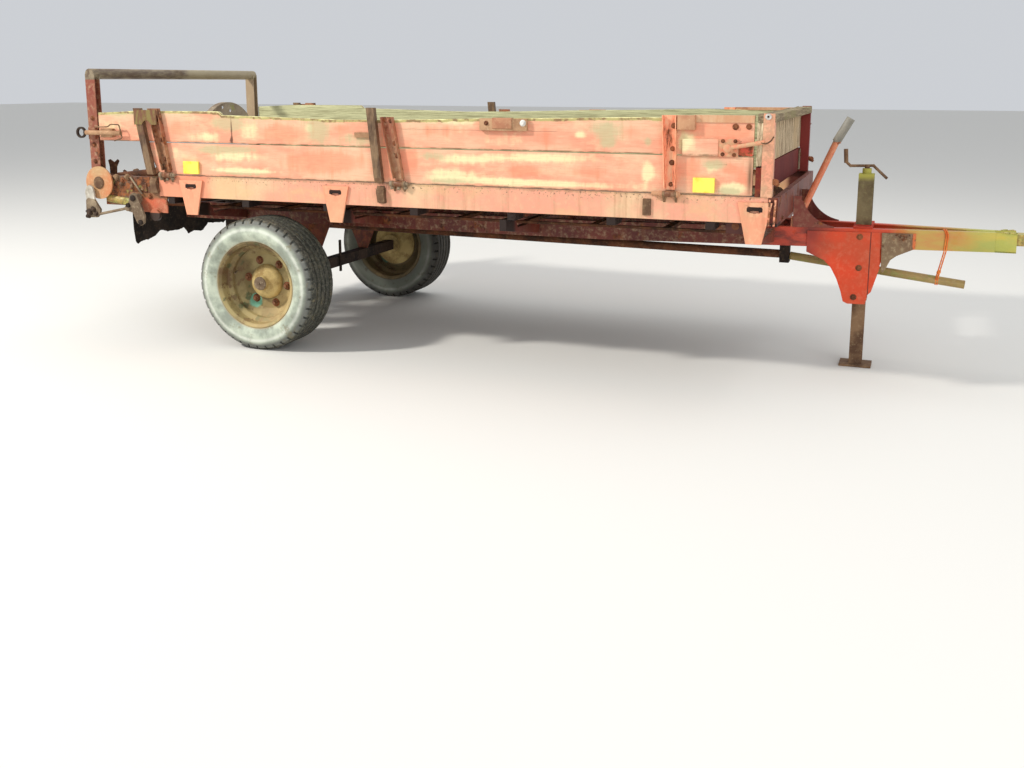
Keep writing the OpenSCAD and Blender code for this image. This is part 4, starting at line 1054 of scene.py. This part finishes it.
def soft_block(piece, low, high, side):
    """A pressed block on the side's face between two corners, its edges rounded, its outer face smaller."""
    (x0, z0), (x1, z1) = low, high
    rings = []
    for out, inset in [(0.914, 0.0), (0.938, 0.0), (0.943, 0.002), (0.945, 0.006)]:
        ring = []
        for a, b in [(0, 0), (0.5, 0), (1, 0), (1, 0.5), (1, 1), (0.5, 1), (0, 1), (0, 0.5)]:
            x = x0 + inset + (x1 - x0 - 2 * inset) * a
            z = z0 + inset + (z1 - z0 - 2 * inset) * b
            ring.append(Vector((at(x), side * out, z)))
        rings.append(ring)
    piece.skin(rings)


def side_blocks(where, side):
    """Pressed sockets on the top edge, and the red patch beside the front latch."""
    piece = Piece("side_blocks_" + where, "side_" + where, "salmon_steel", "latch_block", "red_patch")
    soft_block(piece, (1.547, 1.386), (1.662, 1.446), side)
    soft_block(piece, (2.585, 1.396), (2.680, 1.472), side)
    piece.look = 1
    patch = [(2.906, 1.264), (2.976, 1.266), (2.977, 1.330), (2.940, 1.334), (2.907, 1.330)]
    outline = [(side * -x, z) for x, z in patch]
    piece.plate(outline, (at(0), side * 0.9148, 0), (-side, 0, 0), (0, 0, 1), 0.0025)
    piece.done()


for where, side in SIDES:
    side_blocks(where, side)

# The hinges on the sill: middle ahead of the axle, how far the pin goes back and ahead, and its look
HINGES = [(2.555, 0.098, 0.056, 0), (0.957, 0.060, 0.062, 1), (-0.685, 0.058, 0.062, 1)]
KNUCKLE_HALF = 0.038


def hinge_pins():
    """The hinges' long pins with their collars, and rusty lumps below them, on the sill."""
    piece = Piece("hinge_pins", "chassis", "rusty_steel", "latch_block", "grey_steel")
    for _, side in SIDES:
        for x, back, front, look in HINGES:
            piece.look = look
            bar = [(0.000, 0.008), (0.003, 0.011), (back - 0.058, 0.012), (back - 0.054, 0.017),
                   (back - KNUCKLE_HALF, 0.0175)]
            piece.turned((at(x - back), side * HINGE_Y, HINGE_Z), (1, 0, 0), bar, 14)
            bar = [(0, 0.0175), (0.006, 0.017), (0.008, 0.012), (front - 0.040, 0.011),
                   (front - KNUCKLE_HALF, 0.007)]
            piece.turned((at(x + KNUCKLE_HALF), side * HINGE_Y, HINGE_Z), (1, 0, 0), bar, 14)
            if look:
                for i in range(3):
                    spot = (at(x - 0.044 + 0.044 * i), side * 0.930, 1.036 - 0.004 * (i % 2))
                    piece.lump(spot, 0.011, x + i * 2.3)
    piece.done()


hinge_pins()


def beam_ends():
    """The ends of the drawbar's channels beside the tongue, grown over with moss."""
    piece = Piece("beam_ends", "chassis", "mossy_steel", "beam_red", "mossy_steel")
    # The channel's web and flanges: inner and outer face, foot and top
    walls = [(0.0556, 0.0622, 0.710, 0.820), (0.030, 0.0622, 0.8135, 0.820), (0.030, 0.0622, 0.710, 0.717)]
    for _, side in SIDES:
        for inner, outer, low, high in walls:
            rings = []
            for i in range(12):
                x = 4.198 + 0.110 * i / 11
                worn = outer - 0.0012 + 0.0012 * noise.noise(Vector((x * 60, side, low * 9)))
                ring = [(inner, low), (worn, low), (worn, high), (inner, high)]
                rings.append([Vector((at(x), side * a, b)) for a, b in ring])
            piece.skin(rings)
        piece.look = 1
        for i in range(7):
            spot = (at(4.235 + 0.011 * i), side * (0.050 + 0.004 * (i % 3)), 0.8215)
            piece.lump(spot, 0.0075 + 0.002 * (i % 3), i * 2.7 + side, 0.55)
        piece.look = 0
    piece.done()


beam_ends()


# The crank arm's outline, and lumps of grease: ahead of the axle, height, and a lump's radius
CRANK_ARM = [(-1.316, 0.884), (-1.322, 0.930), (-1.310, 0.966), (-1.286, 0.978), (-1.262, 0.966),
             (-1.252, 0.930), (-1.250, 0.886), (-1.285, 0.868)]
GREASE = [(-1.290, 0.800, 0.024), (-1.262, 0.822, 0.020), (-1.305, 0.775, 0.017), (-1.240, 0.792, 0.016),
          (-0.975, 0.858, 0.017)]
LINK_FACE = 0.969


def feed_details():
    """The crank arm's upper end in front of the disc, greasy lumps, and the tube behind the disc."""
    piece = Piece("feed_details", "chassis", "grey_steel", "white_arm", "dark_iron", "mossy_steel")
    outline = [(-x, z) for x, z in CRANK_ARM]
    piece.plate(outline, (at(0), -0.9535, 0), (-1, 0, 0), (0, 0, 1), -0.013)
    piece.look = 1
    for i, (x, z, radius) in enumerate(GREASE):
        piece.lump((at(x), -0.968, z), radius, i * 1.7, 0.9)
    outward = (0, -1, 0)
    piece.turned((at(-0.935), -LINK_FACE, 0.905), outward, [(0, 0.020), (0.006, 0.020), (0.010, 0.014)], 12)
    piece.turned((at(-0.884), -LINK_FACE, 0.752), outward, [(0, 0.017), (0.006, 0.017), (0.009, 0.011)], 12)
    piece.look = 2
    tube = [(at(-1.190), -0.893, 0.892), (at(-1.090), -0.892, 0.880), (at(-1.010), -0.892, 0.872)]
    piece.tube(tube, 0.030, 16)
    piece.done()


feed_details()

# The wheels: how far out the dish's and the cap's faces lie, and the radius of the studs' circle
DISH_FACE = 0.880
STUD_CIRCLE = 0.142
CAP_FACE = 0.964


def wheel_trim(where, side):
    """Rusty washers under the wheel nuts, the hub's cap ring with its grease nipple, and the valve."""
    piece = Piece("wheel_trim_" + where, "wheel_" + where, "hub_iron", "nut_rust", "grey_steel")
    out = (0, side, 0)

    def spot(radius, degrees, face):
        angle = math.radians(degrees)
        return (at(radius * math.cos(angle)), side * face, WHEEL_Z + radius * math.sin(angle))

    for i in range(6):
        turn = -8 - i * 60
        washer = [(-0.001, 0.026), (0.003, 0.026), (0.004, 0.023)]
        piece.turned(spot(STUD_CIRCLE, turn, DISH_FACE), out, washer, 18)
        piece.turned(spot(STUD_CIRCLE, turn, DISH_FACE + 0.018), out, [(0.0, 0.014), (0.006, 0.011)], 14)
    piece.look = 1
    cap = (at(0), side * CAP_FACE, WHEEL_Z)
    piece.turned(cap, out, [(0, 0.040), (0.003, 0.043), (0.008, 0.041), (0.012, 0.030), (0.014, 0.012)], 24)
    piece.turned(cap, out, [(0.013, 0.007), (0.020, 0.006), (0.022, 0.003)], 10)
    valve = [(0.216, 0.905), (0.205, 0.940), (0.196, 0.958)]
    piece.tube([spot(radius, 165, face) for radius, face in valve], 0.005, 8)
    piece.done()


for where, side in SIDES:
    wheel_trim(where, side)

# Lower edge of the rear sheet: across the machine and above the ground
SHEET_EDGE = [(-0.899, 0.690), (-0.885, 0.593), (-0.830, 0.604), (-0.766, 0.607), (-0.693, 0.622),
              (-0.640, 0.655), (-0.560, 0.636), (-0.452, 0.630), (-0.390, 0.643), (-0.347, 0.592),
              (-0.280, 0.604), (-0.184, 0.592), (-0.120, 0.640), (0.060, 0.622), (0.150, 0.660),
              (0.330, 0.604), (0.420, 0.632), (0.560, 0.596), (0.640, 0.640), (0.780, 0.612), (0.860, 0.600),
              (0.899, 0.655)]
SHEET_HALF = 0.899
SHEET_TOP = 0.838
SHEET_FOOT = 0.5905
SHEET_REAR = -1.0045
SHEET_AHEAD = -1.0020


def rear_sheet():
    """The sheet under the rear end, rusted ragged along its foot and slightly waved."""
    piece = Piece("ragged_sheet", "chassis", "guard_sheet", "black_sheet")
    columns = 150
    rows = 14
    rings = []
    for i in range(columns + 1):
        y = -SHEET_HALF + 2 * SHEET_HALF * i / columns
        low = between(SHEET_EDGE, y) + 0.009 * noise.noise(Vector((y * 40, 2, 0)))
        spots = []
        for k in range(rows + 1):
            z = low + (SHEET_TOP - low) * k / rows
            wave = 0.0045 * noise.noise(Vector((y * 7, z * 7, 5)))
            spots.append((wave, max(z, SHEET_FOOT)))
        ring = [Vector((at(SHEET_REAR) + wave, y, z)) for wave, z in spots]
        ring += [Vector((at(SHEET_AHEAD) + wave, y, z)) for wave, z in reversed(spots)]
        rings.append(ring)
    piece.skin(rings)
    piece.done("rear_sheet")


rear_sheet()

# Lumps of rust on the right bearing arm: ahead of the axle, height, radius
ARM_LUMPS = [(-1.105, 1.030, 0.020), (-1.070, 0.990, 0.016), (-1.020, 1.035, 0.018), (-0.985, 0.975, 0.015),
             (-1.145, 0.955, 0.016), (-0.900, 0.960, 0.012)]


def beater_dirt():
    """A round hub on the crank disc, and dried dirt on the beater."""
    piece = Piece("beater_dirt", "beater", "rusty_steel", "brown_steel")
    axis_z = middle("crank_disc").z
    x = at(-1.228)
    hub = [(0, 0.040), (0.004, 0.041), (0.008, 0.036), (0.009, 0.024), (0.010, 0.010)]
    piece.turned((x, -0.9370, axis_z), (0, -1, 0), hub, 14)
    for i in range(9):
        angle = i * 2.4
        spot = (x + 0.052 * math.cos(angle), -0.70 + i * 0.17, axis_z + 0.052 * math.sin(angle))
        piece.lump(spot, 0.020 + 0.004 * (i % 3), i * 3.1)
    piece.done()


def arm_lumps():
    """Rust on the right bearing arm, and the short rod in front of it."""
    piece = Piece("arm_rust_lumps", "chassis", "rusty_steel", "brown_steel", "grey_steel")
    for i, (x, z, radius) in enumerate(ARM_LUMPS):
        piece.lump((at(x), -POST_FACE, z), radius, i * 1.9)
    piece.look = 1
    piece.tube([(at(-0.985), -0.921, 1.036), (at(-0.900), -0.921, 0.930)], 0.006, 8)
    piece.done()


beater_dirt()
arm_lumps()


def twine():
    """Orange twine that holds the drive shaft up to the drawbar."""
    piece = Piece("twine", "chassis", "mossy_steel", "orange_twine")
    beam = -beam_face(3.945)
    # Over the beam's top, down its face, round the shaft and back to the knot
    route = [(3.935, beam + 0.045, 0.8245), (3.940, beam - 0.006, 0.8245), (3.950, beam - 0.007, 0.800),
             (3.944, beam - 0.006, 0.708), (3.926, -0.020, 0.600), (3.915, 0.034, 0.528),
             (3.913, 0.046, 0.490), (3.913, 0.076, 0.488), (3.914, 0.088, 0.520), (3.918, 0.060, 0.546),
             (3.922, 0.020, 0.566)]
    for step in (-0.005, 0.005):
        piece.tube(rounded([(at(x + step), y, z) for x, y, z in route], 0.008, 4), 0.0038, 8)
    piece.lump((at(3.921), 0.010, 0.570), 0.011, 4.0)
    piece.done()


twine()

# Camera at the photograph's place

camera_data = bpy.data.cameras.new("camera")
camera_data.sensor_width = 36
camera_data.lens = 37.45
camera_data.shift_y = -0.0967
camera = placed("camera", camera_data)
camera.location = (at(3.787), -6.48, 1.646)
camera.rotation_euler = (math.radians(90 - 10.839), 0, math.radians(20.953))
bpy.context.scene.camera = camera

# Floor and soft light


def floor():
    mesh = bpy.data.meshes.new("floor")
    mesh.from_pydata([(-60, -60, 0), (60, -60, 0), (60, 60, 0), (-60, 60, 0)], [], [(0, 1, 2, 3)])
    s = Shader("pale_floor", 0.9, 0.2)
    s.base.inputs["Base Color"].default_value = linear((226, 224, 218))
    mesh.materials.append(mats["pale_floor"])
    placed("floor", mesh)


def area_light(name, place, target, size, power, colour=(1, 1, 1)):
    data = bpy.data.lights.new(name, "AREA")
    data.size = size
    data.energy = power
    data.color = colour
    obj = placed(name, data)
    obj.location = place
    obj.rotation_euler = (Vector(target) - Vector(place)).to_track_quat("-Z", "Y").to_euler()


floor()
area_light("key", (-9.0, -7.0, 8.6), (0.2, 0, 0.8), 1.1, 1440, (1.0, 0.97, 0.92))
area_light("fill", (7.0, -7.0, 4.0), (0.5, 0, 0.8), 6.0, 260)
area_light("top", (1.0, 3.0, 8.0), (0, 0, 0.8), 7.0, 210)
world = bpy.data.worlds.new("world")
world.use_nodes = True
world.node_tree.nodes["Background"].inputs["Color"].default_value = (0.92, 0.95, 1.0, 1)
world.node_tree.nodes["Background"].inputs["Strength"].default_value = 0.66
bpy.context.scene.world = world
bpy.context.scene.view_settings.view_transform = "Standard"
